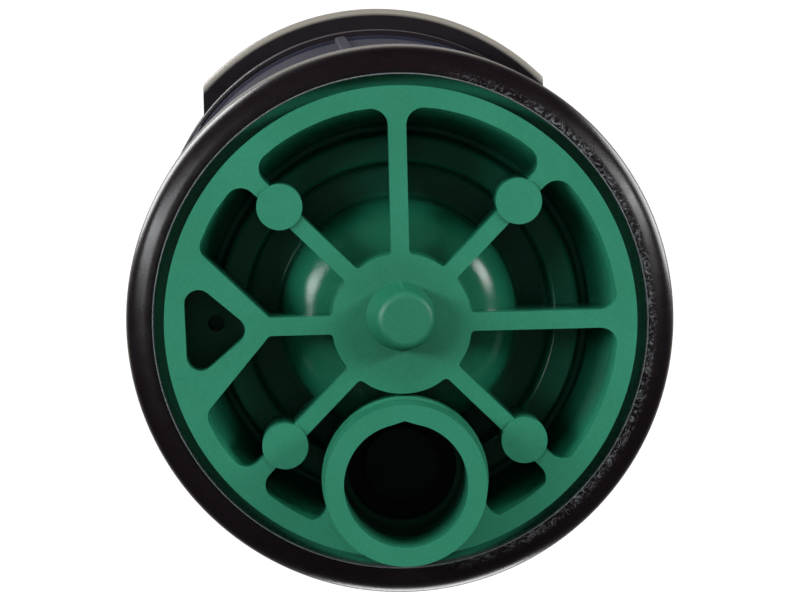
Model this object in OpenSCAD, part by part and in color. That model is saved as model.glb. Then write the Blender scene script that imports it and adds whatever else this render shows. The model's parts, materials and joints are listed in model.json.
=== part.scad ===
// Pop-up rotor sprinkler, full circle, gear driven, with an off-centre pipe inlet under its base.
// Origin on the can's axis at the end of the inlet spigot, +Z up, the spigot at +Y.
// Every piece is drawn closed: riser down, check valve shut, bypass shut.

/* [Overall] */
// Height from the end of the spigot to the top of the cap
total_h = 212; // [206:1:255]
// Outside diameter of the can
can_d = 70; // [69:0.5:84]
// Wall of the can
can_wall = 3.5; // [3:0.1:4]
// Outside diameter of the riser
riser_d = 44; // [43:0.5:46]
// Wall of the riser tube
riser_wall = 2; // [1.8:0.1:2.4]

/* [Fits] */
// Radial clearance of a part that slides or turns
run_gap = 0.08; // [0.03:0.01:0.1]
// Radial clearance between threaded parts
thread_gap = 0.1; // [0.05:0.01:0.15]
// Radial clearance of the plug of the base in the can
plug_gap = 0.15; // [0.1:0.01:0.2]
// Gap between faces that pass each other
face_gap = 0.3; // [0.2:0.05:0.5]

/* [Inlet spigot] */
// Outside diameter of the spigot
spigot_d = 21.3; // [20:0.1:22]
// Bore of the spigot
spigot_bore_d = 16.3; // [14:0.1:17]
// How far the spigot stands out from the wheel face
spigot_out = 10; // [8:0.5:14]
// How much thicker the root of the spigot is, in radius
spigot_root = 0.35; // [0.2:0.05:0.5]
// Height of the root above the wheel face
spigot_root_h = 1; // [0.5:0.1:2]
// Depth of the small alignment notch in the bore
notch_d = 0.4; // [0.2:0.1:0.6]
// Chamfer at the end of the spigot
spigot_chamfer = 0.4; // [0.2:0.1:0.6]

/* [Inlet base] */
// Width of the rim of the wheel
rim_w = 2.7; // [2.2:0.1:3.2]
// How much thicker the rim is at the foot of its inner wall than at the face
rim_draft = 3; // [2:0.1:3.5]
// Radius of the hub
hub_r = 9.3; // [8:0.1:10]
// Width of the three straight spokes
spoke_w = 2.6; // [2:0.1:3]
// Width of the four diagonal ribs
rib_w = 2.3; // [1.8:0.1:2.8]
// Radius of the four round bosses on the diagonal ribs
boss_r = 3.05; // [2.5:0.05:3.4]
// Share of the rim radius at which the bosses sit
boss_at = 0.715; // [0.68:0.005:0.74]
// How far the bosses stand out from the wheel face
boss_out = 0.4; // [0.2:0.1:0.8]
// Radius at the foot of the post on the hub
post_r = 4.7; // [4:0.1:5.5]
// Radius at the top of the post
post_top_r = 3.75; // [3:0.05:4]
// How far the post stands out from the wheel face
post_out = 5.5; // [4:0.1:7]
// How far the post leans sideways
post_lean = 0.7; // [0:0.05:1]
// How far the post sits off the axis, away from the spigot
post_off = 0.85; // [0:0.05:1]
// Depth of the bulkhead behind the wheel face
cell_depth = 20; // [19:0.5:24]
// Thickness of the bulkhead behind the cells
bulkhead_t = 4; // [3:0.5:6]
// Radius of the central dome of the bulkhead
dome_r = 15.9; // [14:0.1:16.2]
// Depth of the dome's flat top behind the wheel face
dome_depth = 7.4; // [6:0.2:9]
// Radius of the dome's rounded shoulder
dome_round = 5.6; // [3:0.2:6.6]
// Depth of the trench round the dome behind the wheel face
trench_depth = 18; // [16:0.2:18.6]
// Width of the raised ring between the trench and the rim
ledge_w = 3.5; // [2.5:0.1:3.8]
// Width of the groove between the raised ring and the rim
ledge_gap = 0.85; // [0.4:0.05:1]
// Depth of the raised ring behind the wheel face
ledge_depth = 14.4; // [12:0.2:15]
// Distance of the wheel's fork from the hub
fork_out = 8.3; // [7.5:0.1:9]
// Half width of the fork where its arms meet the rim
fork_half = 10.1; // [9.6:0.1:11]
// Radius of the valve seat at the inner end of the spigot's bore
seat_r = 7.4; // [6.8:0.1:7.5]
// Height of the valve seat
seat_h = 5; // [4:0.5:6]
// Thickness of the flange that the collar clamps
flange_t = 3; // [2.5:0.1:4]
// Corner radius of the three-cornered pocket
pocket_r = 1.8; // [1.2:0.1:2]
// Half of the height between the pocket's two rear corners
pocket_half = 3.6; // [3:0.1:4]
// Length of the pocket between corner centres
pocket_len = 3.95; // [3:0.05:4.5]
// Depth of the pocket
pocket_depth = 12; // [8:0.5:14]
// Radius of the small drain hole in the floor of the pocket
drain_r = 1.1; // [0.8:0.1:1.3]
// Depth of the drain hole
drain_depth = 5; // [3:0.5:6]

/* [Collar] */
// How far the collar stands out from the can, in radius
collar_proud = 1.5; // [1.2:0.1:2.5]
// How far the collar sits back from the wheel face
collar_back = 2; // [1:0.5:3]
// Height of the collar
collar_h = 20; // [18:0.5:24]
// Thickness of the collar's lip
lip_t = 3.5; // [3:0.1:4]
// Gap between the rim of the wheel and the lip
lip_gap = 1.45; // [1.2:0.05:1.6]
// Radius of the collar's rounded edge
collar_round = 3.4; // [2:0.1:3.4]
// Depth by which the threaded ends of the can are turned down
neck_step = 1; // [0.8:0.1:1.2]

/* [Can ribs] */
// Number of ribs down the outside of the can
out_rib_n = 8; // [4:1:12]
// Angle of the first outside rib
out_rib_at = 261; // [255:1:270]
// Width of an outside rib
out_rib_w = 2.2; // [1.5:0.1:3]
// Height of an outside rib
out_rib_h = 0.9; // [0.5:0.1:1.1]
// Number of guide ribs down the inside of the can
guide_n = 4; // [3:1:6]
// Angle of the first guide rib
guide_at = 45; // [0:5:90]
// Width of a guide rib
guide_w = 3; // [2:0.1:4]
// Height of a guide rib
guide_h = 1.1; // [0.8:0.1:1.2]

/* [Cap] */
// Height of the cap
cap_h = 23; // [21:0.5:26]
// How far the skirt of the cap stands out from the can, in radius
skirt_proud = 1.3; // [1:0.1:2]
// How far the two ears of the cap stand out from its skirt
ear_out = 3.3; // [2.2:0.1:6]
// How far the flats between the ears lie in from their round
ear_cut = 11; // [8:0.1:13]
// Thickness of the ears
ear_t = 7; // [5:0.5:8]
// Thickness of the top of the cap
cap_top_t = 8.5; // [8:0.5:10]
// Chamfer round the cap's upper edge
cap_chamfer = 1.2; // [0.8:0.1:2]
// Thickness of the gasket between can and cap
gasket_t = 1.5; // [1:0.1:2]
// Depth of the recess that the rubber cover drops into
cover_recess = 3; // [2.5:0.1:4]
// Radial clearance between the riser and the bore of the cap
cap_bore_gap = 0.3; // [0.2:0.05:0.5]

/* [Wiper seal] */
// Height of the wiper seal
wiper_h = 3.5; // [3:0.1:4]
// Radial width of the wiper seal
wiper_w = 4; // [3:0.1:4.5]
// Thickness of the seal retainer's floor
retainer_t = 2; // [1.5:0.1:3]
// Wall of the seal retainer
retainer_wall = 3; // [2:0.1:3.5]

/* [Riser] */
// Height of the flange at the foot of the riser
riser_flange_h = 5; // [5:0.5:7]
// Radial width of the guide ring round the flange
guide_ring_w = 1.5; // [1.3:0.1:1.8]
// Height of the guide ring
guide_ring_h = 3; // [2:0.1:4]
// Thickness of the acetal washer under the spring
washer_t = 2; // [1:0.1:2.5]
// Room for the check valve between the base and the riser
valve_room = 23; // [23:0.5:26]
// Radial width of the shoulder inside the riser
shoulder_w = 1.4; // [1:0.1:1.6]
// Thickness of the shoulder inside the riser
shoulder_t = 3; // [2:0.1:4]

/* [Retraction spring] */
// Wire diameter of the retraction spring
spring_wire = 2.2; // [1.8:0.1:2.4]
// Number of turns of the retraction spring
spring_turns = 13; // [10:1:14]

/* [Check valve] */
// Radius of the valve gasket
valve_gasket_r = 9; // [8.7:0.05:9.1]
// Thickness of the valve gasket
valve_gasket_t = 1.5; // [1:0.1:2]
// Thickness of the poppet's disc
poppet_t = 1.5; // [1:0.1:2]
// Radius of the poppet's stem
poppet_stem_r = 1.5; // [1.2:0.1:1.8]
// Outside radius of the valve cage
cage_r = 10.3; // [10.1:0.05:10.4]
// Wall of the valve cage
cage_wall = 1; // [0.8:0.1:1]
// Height of the valve cage
cage_h = 13.5; // [13:0.5:14]
// Thickness of the cage's top
cage_top_t = 2; // [1.5:0.1:2.5]
// Number of legs of the cage
cage_legs = 4; // [3:1:5]
// Wire diameter of the valve spring
valve_wire = 0.8; // [0.6:0.1:0.9]
// Number of turns of the valve spring
valve_turns = 4; // [3:1:4]

/* [Filter] */
// Outside radius of the filter basket
filter_r = 18; // [17:0.1:18.3]
// Wall of the filter basket
filter_wall = 1.2; // [1:0.1:1.5]
// Number of bars round the filter
filter_bars = 18; // [12:1:24]
// Width of a filter bar
filter_bar_w = 1.6; // [1.2:0.1:2]
// Number of slot rows up the filter
filter_rows = 4; // [2:1:5]
// Height of a hoop between two rows
filter_hoop = 1.6; // [1.2:0.1:2]

/* [Stator and turbine] */
// Thickness of the stator plate
stator_t = 3; // [2.5:0.1:4]
// Number of jets in the stator
jet_n = 6; // [4:1:6]
// Radius of a jet
jet_r = 1.3; // [1:0.1:1.5]
// Lean of a jet from upright
jet_lean = 35; // [20:1:40]
// Radius of the circle of jets
jet_at = 8.6; // [8:0.1:9]
// Outside radius of the turbine
turbine_r = 11.5; // [10:0.1:11.8]
// Height of the turbine
turbine_h = 4.4; // [4:0.1:4.6]
// Number of turbine blades
blade_n = 12; // [8:1:16]
// Radius of the turbine shaft
turbine_shaft_r = 1; // [0.8:0.05:1.1]
// Distance of the bypass valve from the axis
bypass_at = 15.2; // [15:0.1:15.4]
// Radius of the bypass port
bypass_r = 1.6; // [1.3:0.1:1.7]
// Wire diameter of the bypass spring
bypass_wire = 0.5; // [0.4:0.1:0.5]
// Number of turns of the bypass spring
bypass_turns = 4; // [3:1:4]
// Length of the boss that guides the bypass stem
bypass_boss = 1.5; // [1:0.1:1.6]
// Lift of the bypass poppet
bypass_lift = 2; // [1:0.1:2]

/* [Gear cartridge] */
// Module of the gears
gear_m = 0.4; // [0.38:0.01:0.41]
// Teeth of each small gear
pinion_z = 12; // [12:1:12]
// Teeth of each large gear
wheel_z = 30; // [30:1:30]
// Pressure angle of the teeth
press_ang = 25; // [25:1:25]
// Play between two teeth, along the pitch circle
backlash = 0.1; // [0.06:0.01:0.12]
// Face width of a large gear
gear_w = 3; // [2:0.1:3]
// Height from one gear level to the next
level_h = 6.5; // [6.5:0.1:7]
// Radius of the two gear pins
gear_pin_r = 0.75; // [0.6:0.05:0.8]
// Wall of the gear case
case_wall = 1.2; // [1:0.1:1.4]
// Thickness of the floor and cover of the gear case
case_floor = 2; // [2:0.1:2.5]
// Thickness of the middle plate
mid_t = 2.5; // [2.3:0.1:2.6]
// Radius of the output shaft
out_shaft_r = 2.5; // [2.2:0.1:2.8]
// Number of fins that centre the case in the riser
fin_n = 4; // [3:1:4]
// Thickness of a fin
fin_t = 1.6; // [1.2:0.1:2]

/* [Turret] */
// Height of the turret
turret_h = 42; // [40:0.5:46]
// Radius of the drive sleeve
sleeve_r = 18; // [17.5:0.1:18]
// Wall of the drive sleeve
sleeve_wall = 2.2; // [1.8:0.1:2.4]
// Height of the bearing nut inside the riser
nut_h = 8; // [6:0.5:10]
// Thickness of the nut's flange on top of the riser
nut_lip = 1.5; // [1:0.1:2]
// Thickness of the thrust washer
thrust_t = 1; // [0.8:0.1:1.5]
// Height of the water room inside the turret
room_h = 11; // [10:0.5:12]
// Upward angle of the nozzle
nozzle_ang = 25; // [20:1:28]
// Outside radius of the nozzle
nozzle_r = 5; // [4.5:0.1:5.2]
// Radius of the nozzle's mouth
nozzle_mouth_r = 2.4; // [1.5:0.1:3]
// Radius of the radius-reduction screw
screw_r = 1.5; // [1.3:0.1:1.7]
// Distance of the screw from the axis
screw_at = 17.5; // [17:0.1:18]
// Overhang of the rubber cover past the riser
cover_out = 1.6; // [1.2:0.1:2]
// How far the rubber cover stands above the cap
cover_proud = 0.6; // [0.2:0.1:1]

/* [Hidden] */
$fn = 96;
eps = 0.01;

// Radii of the housing
can_r = can_d / 2;
bore_r = can_r - can_wall;
neck_r = can_r - neck_step;
neck_bore_r = neck_r + thread_gap;
plug_r = bore_r - plug_gap;
rim_in_r = plug_r - rim_w;
collar_r = can_r + collar_proud;
lip_r = plug_r + lip_gap;
skirt_r = can_r + skirt_proud;
ear_r = skirt_r + ear_out;
ear_half = ear_r - ear_cut;

// Heights of the base and the can
face_z = spigot_out;
collar_z = face_z + collar_back;
flange_z = collar_z + lip_t;
can_z = flange_z + flange_t;
collar_top = collar_z + collar_h;
bulk_z = face_z + cell_depth;
base_top = bulk_z + bulkhead_t;
flange_r = neck_r - thread_gap;
root_z = face_z - spigot_root_h;

// Depths of the moulded shapes in front of the bulkhead
dome_z = face_z + dome_depth;
trench_z = face_z + trench_depth;
ledge_z = face_z + ledge_depth;

// Radii of the raised ring, whose sides slope a little, and of the foot of the rim's wall
ledge_slope = 0.5;
wall_foot_r = rim_in_r - rim_draft;
ledge_out_r = wall_foot_r - ledge_gap - ledge_slope;
ledge_in_r = ledge_out_r - ledge_w;
cap_z = total_h - cap_h;
ceiling_z = total_h - cap_top_t;
can_top = ceiling_z - gasket_t;

// Position of the spigot, with its outer side in line with the rim
spigot_r = spigot_d / 2;
spigot_bore_r = spigot_bore_d / 2;
spigot_y = plug_r - spigot_r + 0.1;

// Clearance of a seal that a part turns in
seal_gap = 0.03;

// Base seal
seal_t = 1.6;
seal_h = 2.2;
seal_z = can_z + 5;

// Riser
riser_r = riser_d / 2;
riser_bore_r = riser_r - riser_wall;
riser_z = base_top + valve_room;
riser_flange_top = riser_z + riser_flange_h;
washer_top = riser_flange_top + washer_t;
guide_ring_r = bore_r - run_gap;
riser_flange_r = guide_ring_r - guide_ring_w;
recess_z = total_h - cover_recess;
turret_top = recess_z;
turret_z = turret_top - turret_h;
riser_top = turret_z - nut_lip - face_gap;

// Wiper seal and retainer hang under the top of the cap
wiper_z = ceiling_z - wiper_h;
retainer_z = wiper_z - retainer_t;
retainer_r = bore_r - guide_h - face_gap;

// Retraction spring between retainer and washer
spring_gap_r = retainer_r - riser_r;
spring_mean_r = riser_r + spring_gap_r / 2;

// Turret drive, from the riser's top down
nut_z = riser_top - nut_h;
thrust_z = nut_z - thrust_t;
sleeve_flange_h = 3;
sleeve_z = thrust_z - sleeve_flange_h;
sleeve_flange_r = riser_bore_r - 0.4;
hub_drop = 3;
drive_hub_z = sleeve_z - hub_drop;

// Gear cartridge, from its cover down
case_top = drive_hub_z - 2;
stack_h = 4 * level_h;
case_h = stack_h + 2 * case_floor + 1;
case_z = case_top - case_h;
level_1 = case_z + case_floor + 1;
gear_cd = gear_m * (pinion_z + wheel_z) / 2;
gear_tip_r = gear_m * (wheel_z + 2) / 2;
pinion_tip_r = gear_m * (pinion_z + 2) / 2;
case_in_r = gear_cd + gear_tip_r + 0.4;
case_r = case_in_r + case_wall;
mid_z = level_1 + gear_w + 0.6;

// Stator, below the cartridge
turbine_room = 7;
stator_top = case_z - turbine_room;
stator_z = stator_top - stator_t;
shoulder_z = stator_z - shoulder_t;
turbine_z = stator_top + 1.3;
stator_boss_drop = 2;

// Filter, below the shoulder
filter_top = shoulder_z;
filter_flange_t = 2;
filter_z = riser_z + 3;

// ---------- shared shapes ----------

// A plain ring between two radii and two heights.
module ring(r_out, r_in, z0, z1) {
    translate([0, 0, z0])
        difference() {
            cylinder(r = r_out, h = z1 - z0);
            translate([0, 0, -1]) cylinder(r = r_in, h = z1 - z0 + 2);
        }
}

// A disc between two heights.
module disc(r, z0, z1) {
    translate([0, 0, z0]) cylinder(r = r, h = z1 - z0);
}

// A sealing ring squeezed flat where it touches its gland.
module squeezed_ring(r_in, r_out, z0, h) {
    translate([0, 0, z0 + h / 2])
        rotate_extrude()
            translate([(r_in + r_out) / 2, 0])
                intersection() {
                    circle(d = h, $fn = 48);
                    square([r_out - r_in, h], center = true);
                }
}

// Height of a closed-end compression spring's wire centre after u turns.
function coil_z(u, n, d, len) =
    let (flat = 0.8, ramp = 0.35, rise = d * 1.08,
         low = d / 2 + rise, high = len - d / 2 - rise,
         first = flat + ramp, last = n - flat - ramp)
    u < flat ? d / 2 :
    u < first ? d / 2 + rise * (u - flat) / ramp :
    u < last ? low + (high - low) * (u - first) / (last - first) :
    u < n - flat ? high + rise * (u - last) / ramp :
    len - d / 2;

// A compression spring with closed ends, of round wire drawn with eight sides.
module coil(mean_r, d, n, len, per_turn) {
    sides = 8;
    count = n * per_turn;
    wire_r = d / 2 / cos(180 / sides);
    pts = [for (i = [0:count], k = [0:sides - 1])
        let (u = i / per_turn, a = 360 * u, b = 360 * (k + 0.5) / sides,
             r = mean_r + wire_r * cos(b))
        [r * cos(a), r * sin(a), coil_z(u, n, d, len) + wire_r * sin(b)]];
    walls = [for (i = [0:count - 1], k = [0:sides - 1])
        let (k2 = (k + 1) % sides, p = i * sides, q = (i + 1) * sides)
        each [[p + k, q + k, q + k2], [p + k, q + k2, p + k2]]];
    start = [[for (k = [0:sides - 1]) k]];
    end = [[for (k = [sides - 1:-1:0]) count * sides + k]];
    polyhedron(points = pts, faces = concat(walls, start, end));
}

// A point of an involute that unwinds from a base circle.
function involute(rb, t) =
    rb * [cos(t) + t * PI / 180 * sin(t), sin(t) - t * PI / 180 * cos(t)];

// The unwinding angle at which the involute reaches a radius.
function unwind(rb, r) = r <= rb ? 0 : sqrt(r * r / rb / rb - 1) * 180 / PI;

function turn(p, a) = [p[0] * cos(a) - p[1] * sin(a), p[0] * sin(a) + p[1] * cos(a)];

// Outline of an involute spur gear with one tooth centred on +X.
module spur_2d(z, m) {
    rp = m * z / 2;
    rb = rp * cos(press_ang);
    ra = rp + m;
    rf = rp - 1.25 * m;
    steps = 4;
    play = backlash / 2 / rp * 180 / PI;
    t_pitch = unwind(rb, rp);
    a_pitch = atan2(involute(rb, t_pitch)[1], involute(rb, t_pitch)[0]);
    half = 90 / z - play / 2 + a_pitch;
    t0 = unwind(rb, max(rf, rb));
    t1 = unwind(rb, ra);
    flank = [for (i = [0:steps]) involute(rb, t0 + (t1 - t0) * i / steps)];
    side = [for (p = flank) turn(p, -half)];
    foot = rf < rb ? [turn([rf, 0], -half)] : [];
    low = concat(foot, side);
    tooth = concat(low, [for (i = [len(low) - 1:-1:0]) [low[i][0], -low[i][1]]]);
    polygon([for (k = [0:z - 1], p = tooth) turn(p, 360 / z * k)]);
}

// A spur gear with a round bore.
module spur(z, w, bore) {
    difference() {
        linear_extrude(height = w) spur_2d(z, gear_m);
        translate([0, 0, -1]) cylinder(r = bore, h = w + 2, $fn = 48);
    }
}

// A large gear at a level with a small gear standing on it, up through the next level.
module compound(level) {
    z0 = level_1 + (level - 1) * level_h;
    bore = gear_pin_r + 0.05;
    translate([0, 0, z0]) rotate([0, 0, 180 / wheel_z]) spur(wheel_z, gear_w, bore);
    translate([0, 0, z0 + gear_w - eps]) spur(pinion_z, level_h + eps, bore);
}

// ---------- housing ----------

// Profile of the base's round parts: drafted rim, clamped flange, plug, and the bulkhead with
// its raised ring and the dome.
module base_profile() {
    polygon([
        [rim_in_r, face_z], [plug_r, face_z], [plug_r, flange_z], [flange_r, flange_z],
        [flange_r, can_z], [plug_r, can_z], [plug_r, base_top], [0, base_top],
        [0, trench_z], [ledge_in_r - ledge_slope, trench_z],
        [ledge_in_r, ledge_z], [ledge_out_r, ledge_z],
        [ledge_out_r + ledge_slope, trench_z], [wall_foot_r, trench_z]
    ]);
}

// The dome in the bulkhead's middle, with a flat top and a rounded shoulder.
module base_dome() {
    rotate_extrude() {
        translate([0, dome_z]) square([dome_r - dome_round, trench_z - dome_z + 1]);
        translate([0, dome_z + dome_round])
            square([dome_r, trench_z - dome_z - dome_round + 1]);
        intersection() {
            translate([dome_r - dome_round, dome_z + dome_round]) circle(r = dome_round);
            translate([0, dome_z]) square([dome_r, dome_round + eps]);
        }
    }
}

// Foot of the fork round the pocket: junction of its two arms, and their ends at the rim.
fork_x = -hub_r - fork_out;
fork_end = [-sqrt(rim_in_r * rim_in_r - fork_half * fork_half), fork_half];
pocket_x = -rim_in_r + pocket_r;

// The wheel of spokes, diagonal ribs and pocket wedge, as a flat outline.
module wheel_2d() {
    circle(r = hub_r);
    translate([-spoke_w / 2, -rim_in_r - 1]) square([spoke_w, rim_in_r + 1]);
    translate([0, -spoke_w / 2]) square([rim_in_r + 1, spoke_w]);
    translate([fork_x - 1, -spoke_w / 2]) square([-fork_x + 1, spoke_w]);
    polygon([
        [fork_x, -spoke_w / 2], [fork_end[0], -fork_end[1]], [-rim_in_r - 1, -fork_end[1]],
        [-rim_in_r - 1, fork_end[1]], [fork_end[0], fork_end[1]], [fork_x, spoke_w / 2]
    ]);
    for (a = [45:90:315])
        rotate(a) translate([0, -rib_w / 2]) square([rim_in_r + 1, rib_w]);
}

module inlet_base() {
    color("#358262")
    difference() {
        union() {
            rotate_extrude() base_profile();
            base_dome();
            intersection() {
                translate([0, 0, face_z]) linear_extrude(height = cell_depth + 1) wheel_2d();
                disc(plug_r - eps, face_z - 1, base_top);
            }
            for (a = [45:90:315])
                rotate([0, 0, a]) translate([boss_at * plug_r, 0, face_z - boss_out])
                    cylinder(r = boss_r, h = cell_depth);
            // The post, which leans a little
            hull() {
                translate([0, -post_off, face_z - eps]) cylinder(r = post_r, h = 1, $fn = 32);
                translate([post_lean, -post_off, face_z - post_out])
                    cylinder(r = post_top_r, h = 1, $fn = 32);
            }
            // The spigot, chamfered at its end, on a thicker root that stays inside the plug
            translate([0, spigot_y, 0])
                cylinder(r1 = spigot_r - spigot_chamfer, r2 = spigot_r, h = spigot_chamfer);
            translate([0, spigot_y, spigot_chamfer])
                cylinder(r = spigot_r, h = root_z - spigot_chamfer + eps);
            translate([0, spigot_y, root_z])
                cylinder(r = spigot_r + spigot_root, h = spigot_root_h);
            intersection() {
                translate([0, spigot_y, face_z])
                    cylinder(r = spigot_r + spigot_root, h = cell_depth);
                disc(plug_r, face_z - 1, base_top);
            }
        }
        // Bore of the spigot with its notch, up to the narrower valve seat
        translate([0, spigot_y, -1]) cylinder(r = spigot_bore_r, h = base_top - seat_h + 1);
        translate([0, spigot_y, -1]) cylinder(r = seat_r, h = base_top + 2);
        translate([0, spigot_y - spigot_bore_r, -1])
            rotate([0, 0, 45])
                translate([-notch_d, -notch_d, 0]) cube([2 * notch_d, 2 * notch_d, face_z + 1]);
        // Groove for the base seal
        ring(plug_r + 1, bore_r - seal_t, seal_z, seal_z + seal_h);
        // Three-cornered pocket and the drain hole in its floor
        translate([0, 0, face_z - 1])
            linear_extrude(height = pocket_depth + 1)
                hull() {
                    for (s = [-1, 1])
                        translate([pocket_x, s * pocket_half]) circle(r = pocket_r, $fn = 32);
                    translate([pocket_x + pocket_len, 0]) circle(r = pocket_r, $fn = 32);
                }
        translate([pocket_x + pocket_len / 2, 0, face_z + pocket_depth - 1])
            cylinder(r = drain_r, h = drain_depth + 1);
    }
}

module base_collar() {
    color("#2a2228")
    rotate_extrude()
        difference() {
            union() {
                translate([collar_r - collar_round, collar_z + collar_round])
                    circle(r = collar_round);
                translate([lip_r, collar_z])
                    square([collar_r - collar_round - lip_r, lip_t]);
                translate([neck_bore_r, collar_z + collar_round])
                    square([collar_r - neck_bore_r, collar_h - collar_round]);
                translate([lip_r, collar_z + lip_t - 1])
                    square([neck_bore_r - lip_r + 1, 1]);
            }
            translate([0, flange_z]) square([neck_bore_r, collar_h]);
            square([lip_r, flange_z]);
        }
}

module base_seal() {
    color("#1c1c1c")
    squeezed_ring(bore_r - seal_t, bore_r, seal_z, seal_h);
}

module body_can() {
    rib_end = 4;
    color("#3d3f50")
    union() {
        ring(neck_r, bore_r, can_z, can_top);
        ring(can_r, bore_r, collar_top + face_gap, cap_z - face_gap);
        for (i = [0:out_rib_n - 1])
            rotate([0, 0, out_rib_at + i * 360 / out_rib_n])
                translate([can_r - 1, -out_rib_w / 2, collar_top + rib_end])
                    cube([out_rib_h + 1, out_rib_w, cap_z - collar_top - 2 * rib_end]);
        // Guide ribs that keep the riser from turning
        for (i = [0:guide_n - 1])
            rotate([0, 0, guide_at + i * 360 / guide_n])
                translate([bore_r - guide_h, -guide_w / 2, base_top + rib_end / 2])
                    cube([guide_h + 1, guide_w, can_top - base_top - 1.5 * rib_end]);
    }
}

module body_cap() {
    color("#2b2530")
    difference() {
        union() {
            disc(skirt_r, cap_z, total_h);
            intersection() {
                union() {
                    disc(ear_r, total_h - ear_t, total_h - cap_chamfer);
                    translate([0, 0, total_h - cap_chamfer])
                        cylinder(r1 = ear_r, r2 = ear_r - cap_chamfer, h = cap_chamfer);
                }
                translate([-ear_half, -ear_r - 1, total_h - ear_t - 1])
                    cube([2 * ear_half, 2 * ear_r + 2, ear_t + 2]);
            }
        }
        disc(neck_bore_r, cap_z - 1, ceiling_z);
        disc(riser_r + cap_bore_gap, ceiling_z - 1, total_h + 1);
        disc(riser_r + cover_out + face_gap, recess_z, total_h + 1);
    }
}

module cap_gasket() {
    color("#1a1a1c")
    ring(neck_r, bore_r, can_top, ceiling_z);
}

// The wiper hugs the riser with a thin lip at its lower end.
module wiper_seal() {
    lip_in = riser_r + run_gap;
    color("#202024")
    rotate_extrude()
        polygon([
            [lip_in, wiper_z], [lip_in + wiper_w, wiper_z], [lip_in + wiper_w, ceiling_z],
            [lip_in + 0.4, ceiling_z], [lip_in + 0.4, wiper_z + 1.4], [lip_in, wiper_z + 0.9]
        ]);
}

module seal_retainer() {
    color("#d8d4c8")
    union() {
        ring(retainer_r, riser_r + cap_bore_gap, retainer_z, wiper_z);
        ring(retainer_r, retainer_r - retainer_wall, retainer_z, ceiling_z);
    }
}

module retraction_spring() {
    color("#b8bcc0")
    translate([0, 0, washer_top])
        coil(spring_mean_r, spring_wire, spring_turns, retainer_z - washer_top, 24);
}

// ---------- check valve on the inlet ----------

valve_disc_z = base_top + valve_gasket_t;
cage_in_r = cage_r - cage_wall;
cage_top = base_top + cage_h;
stem_gap = 0.05;
poppet_neck_r = 3;
button_r = 5;
valve_coil_r = 3.6;

module valve_cage() {
    leg_w = 4;
    foot_h = 1;
    color("#e6e2d6")
    translate([0, spigot_y, 0])
        difference() {
            union() {
                ring(cage_r, cage_in_r, base_top, base_top + foot_h);
                intersection() {
                    ring(cage_r, cage_in_r, base_top, cage_top);
                    for (i = [0:cage_legs - 1])
                        rotate([0, 0, i * 360 / cage_legs])
                            translate([0, -leg_w / 2, base_top])
                                cube([cage_r + 1, leg_w, cage_h]);
                }
                disc(cage_r, cage_top - cage_top_t, cage_top);
            }
            disc(poppet_stem_r + stem_gap, base_top, cage_top + 1);
        }
}

// The poppet holds its gasket between its disc and a button that reaches down into the seat.
module valve_poppet() {
    neck_z = base_top - 1.5;
    button_z = neck_z - 1;
    stem_over = 2;
    color("#2a2a2c")
    translate([0, spigot_y, 0])
        union() {
            disc(valve_gasket_r - 0.4, valve_disc_z, valve_disc_z + poppet_t);
            disc(poppet_neck_r, neck_z, valve_disc_z + eps);
            disc(button_r, button_z, neck_z + eps);
            translate([0, 0, neck_z])
                cylinder(r1 = button_r, r2 = poppet_neck_r, h = base_top - neck_z);
            disc(poppet_stem_r, valve_disc_z, cage_top + stem_over);
        }
}

module valve_gasket() {
    color("#1f1f22")
    translate([0, spigot_y, 0]) ring(valve_gasket_r, poppet_neck_r, base_top, valve_disc_z);
}

module valve_spring() {
    color("#c4c8cc")
    translate([0, spigot_y, valve_disc_z + poppet_t])
        coil(valve_coil_r, valve_wire, valve_turns,
             cage_top - cage_top_t - valve_disc_z - poppet_t, 20);
}

// ---------- riser ----------

module riser_tube() {
    color("#26262a")
    difference() {
        union() {
            ring(riser_r, riser_bore_r, riser_z, riser_top);
            ring(riser_flange_r, riser_bore_r, riser_z, riser_flange_top);
            ring(riser_bore_r + 0.5, riser_bore_r - shoulder_w, shoulder_z, stator_z);
        }
        // Groove for the guide ring
        translate([0, 0, riser_z + 1])
            difference() {
                cylinder(r = riser_flange_r + 1, h = guide_ring_h);
                translate([0, 0, -1]) cylinder(r = riser_flange_r - 1, h = guide_ring_h + 2);
            }
    }
}

module guide_ring() {
    color("#dcdcd4")
    difference() {
        ring(guide_ring_r, riser_flange_r - 1, riser_z + 1, riser_z + 1 + guide_ring_h);
        for (i = [0:guide_n - 1])
            rotate([0, 0, guide_at + i * 360 / guide_n])
                translate([bore_r - guide_h - run_gap, -guide_w / 2 - run_gap, riser_z])
                    cube([guide_h + 1, guide_w + 2 * run_gap, guide_ring_h + 2]);
    }
}

module spring_washer() {
    color("#e8e4d8")
    ring(riser_flange_r - 0.5, riser_r + 0.1, riser_flange_top, washer_top);
}

module riser_filter() {
    floor_t = 1.5;
    first_slot = 2;
    slot_zone = filter_top - filter_flange_t - filter_z - first_slot;
    row_h = slot_zone / filter_rows;
    color("#e9e6da")
    difference() {
        union() {
            ring(filter_r, filter_r - filter_wall, filter_z, filter_top);
            disc(filter_r, filter_z, filter_z + floor_t);
            ring(riser_bore_r - run_gap, filter_r - filter_wall,
                 filter_top - filter_flange_t, filter_top);
        }
        for (row = [0:filter_rows - 1], i = [0:filter_bars / 2 - 1])
            translate([0, 0, filter_z + first_slot + row * row_h])
                rotate([0, 0, i * 360 / filter_bars]) {
                    gap_w = 2 * PI * filter_r / filter_bars - filter_bar_w;
                    difference() {
                        translate([-filter_r - 1, -gap_w / 2, 0])
                            cube([2 * filter_r + 2, gap_w, row_h - filter_hoop]);
                        cylinder(r = filter_r - filter_wall - 0.5, h = row_h);
                    }
                }
    }
}

shaft_bore = turbine_shaft_r + 0.05;
shaft_bush_r = 2.6;
bush_over = 0.3;

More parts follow.
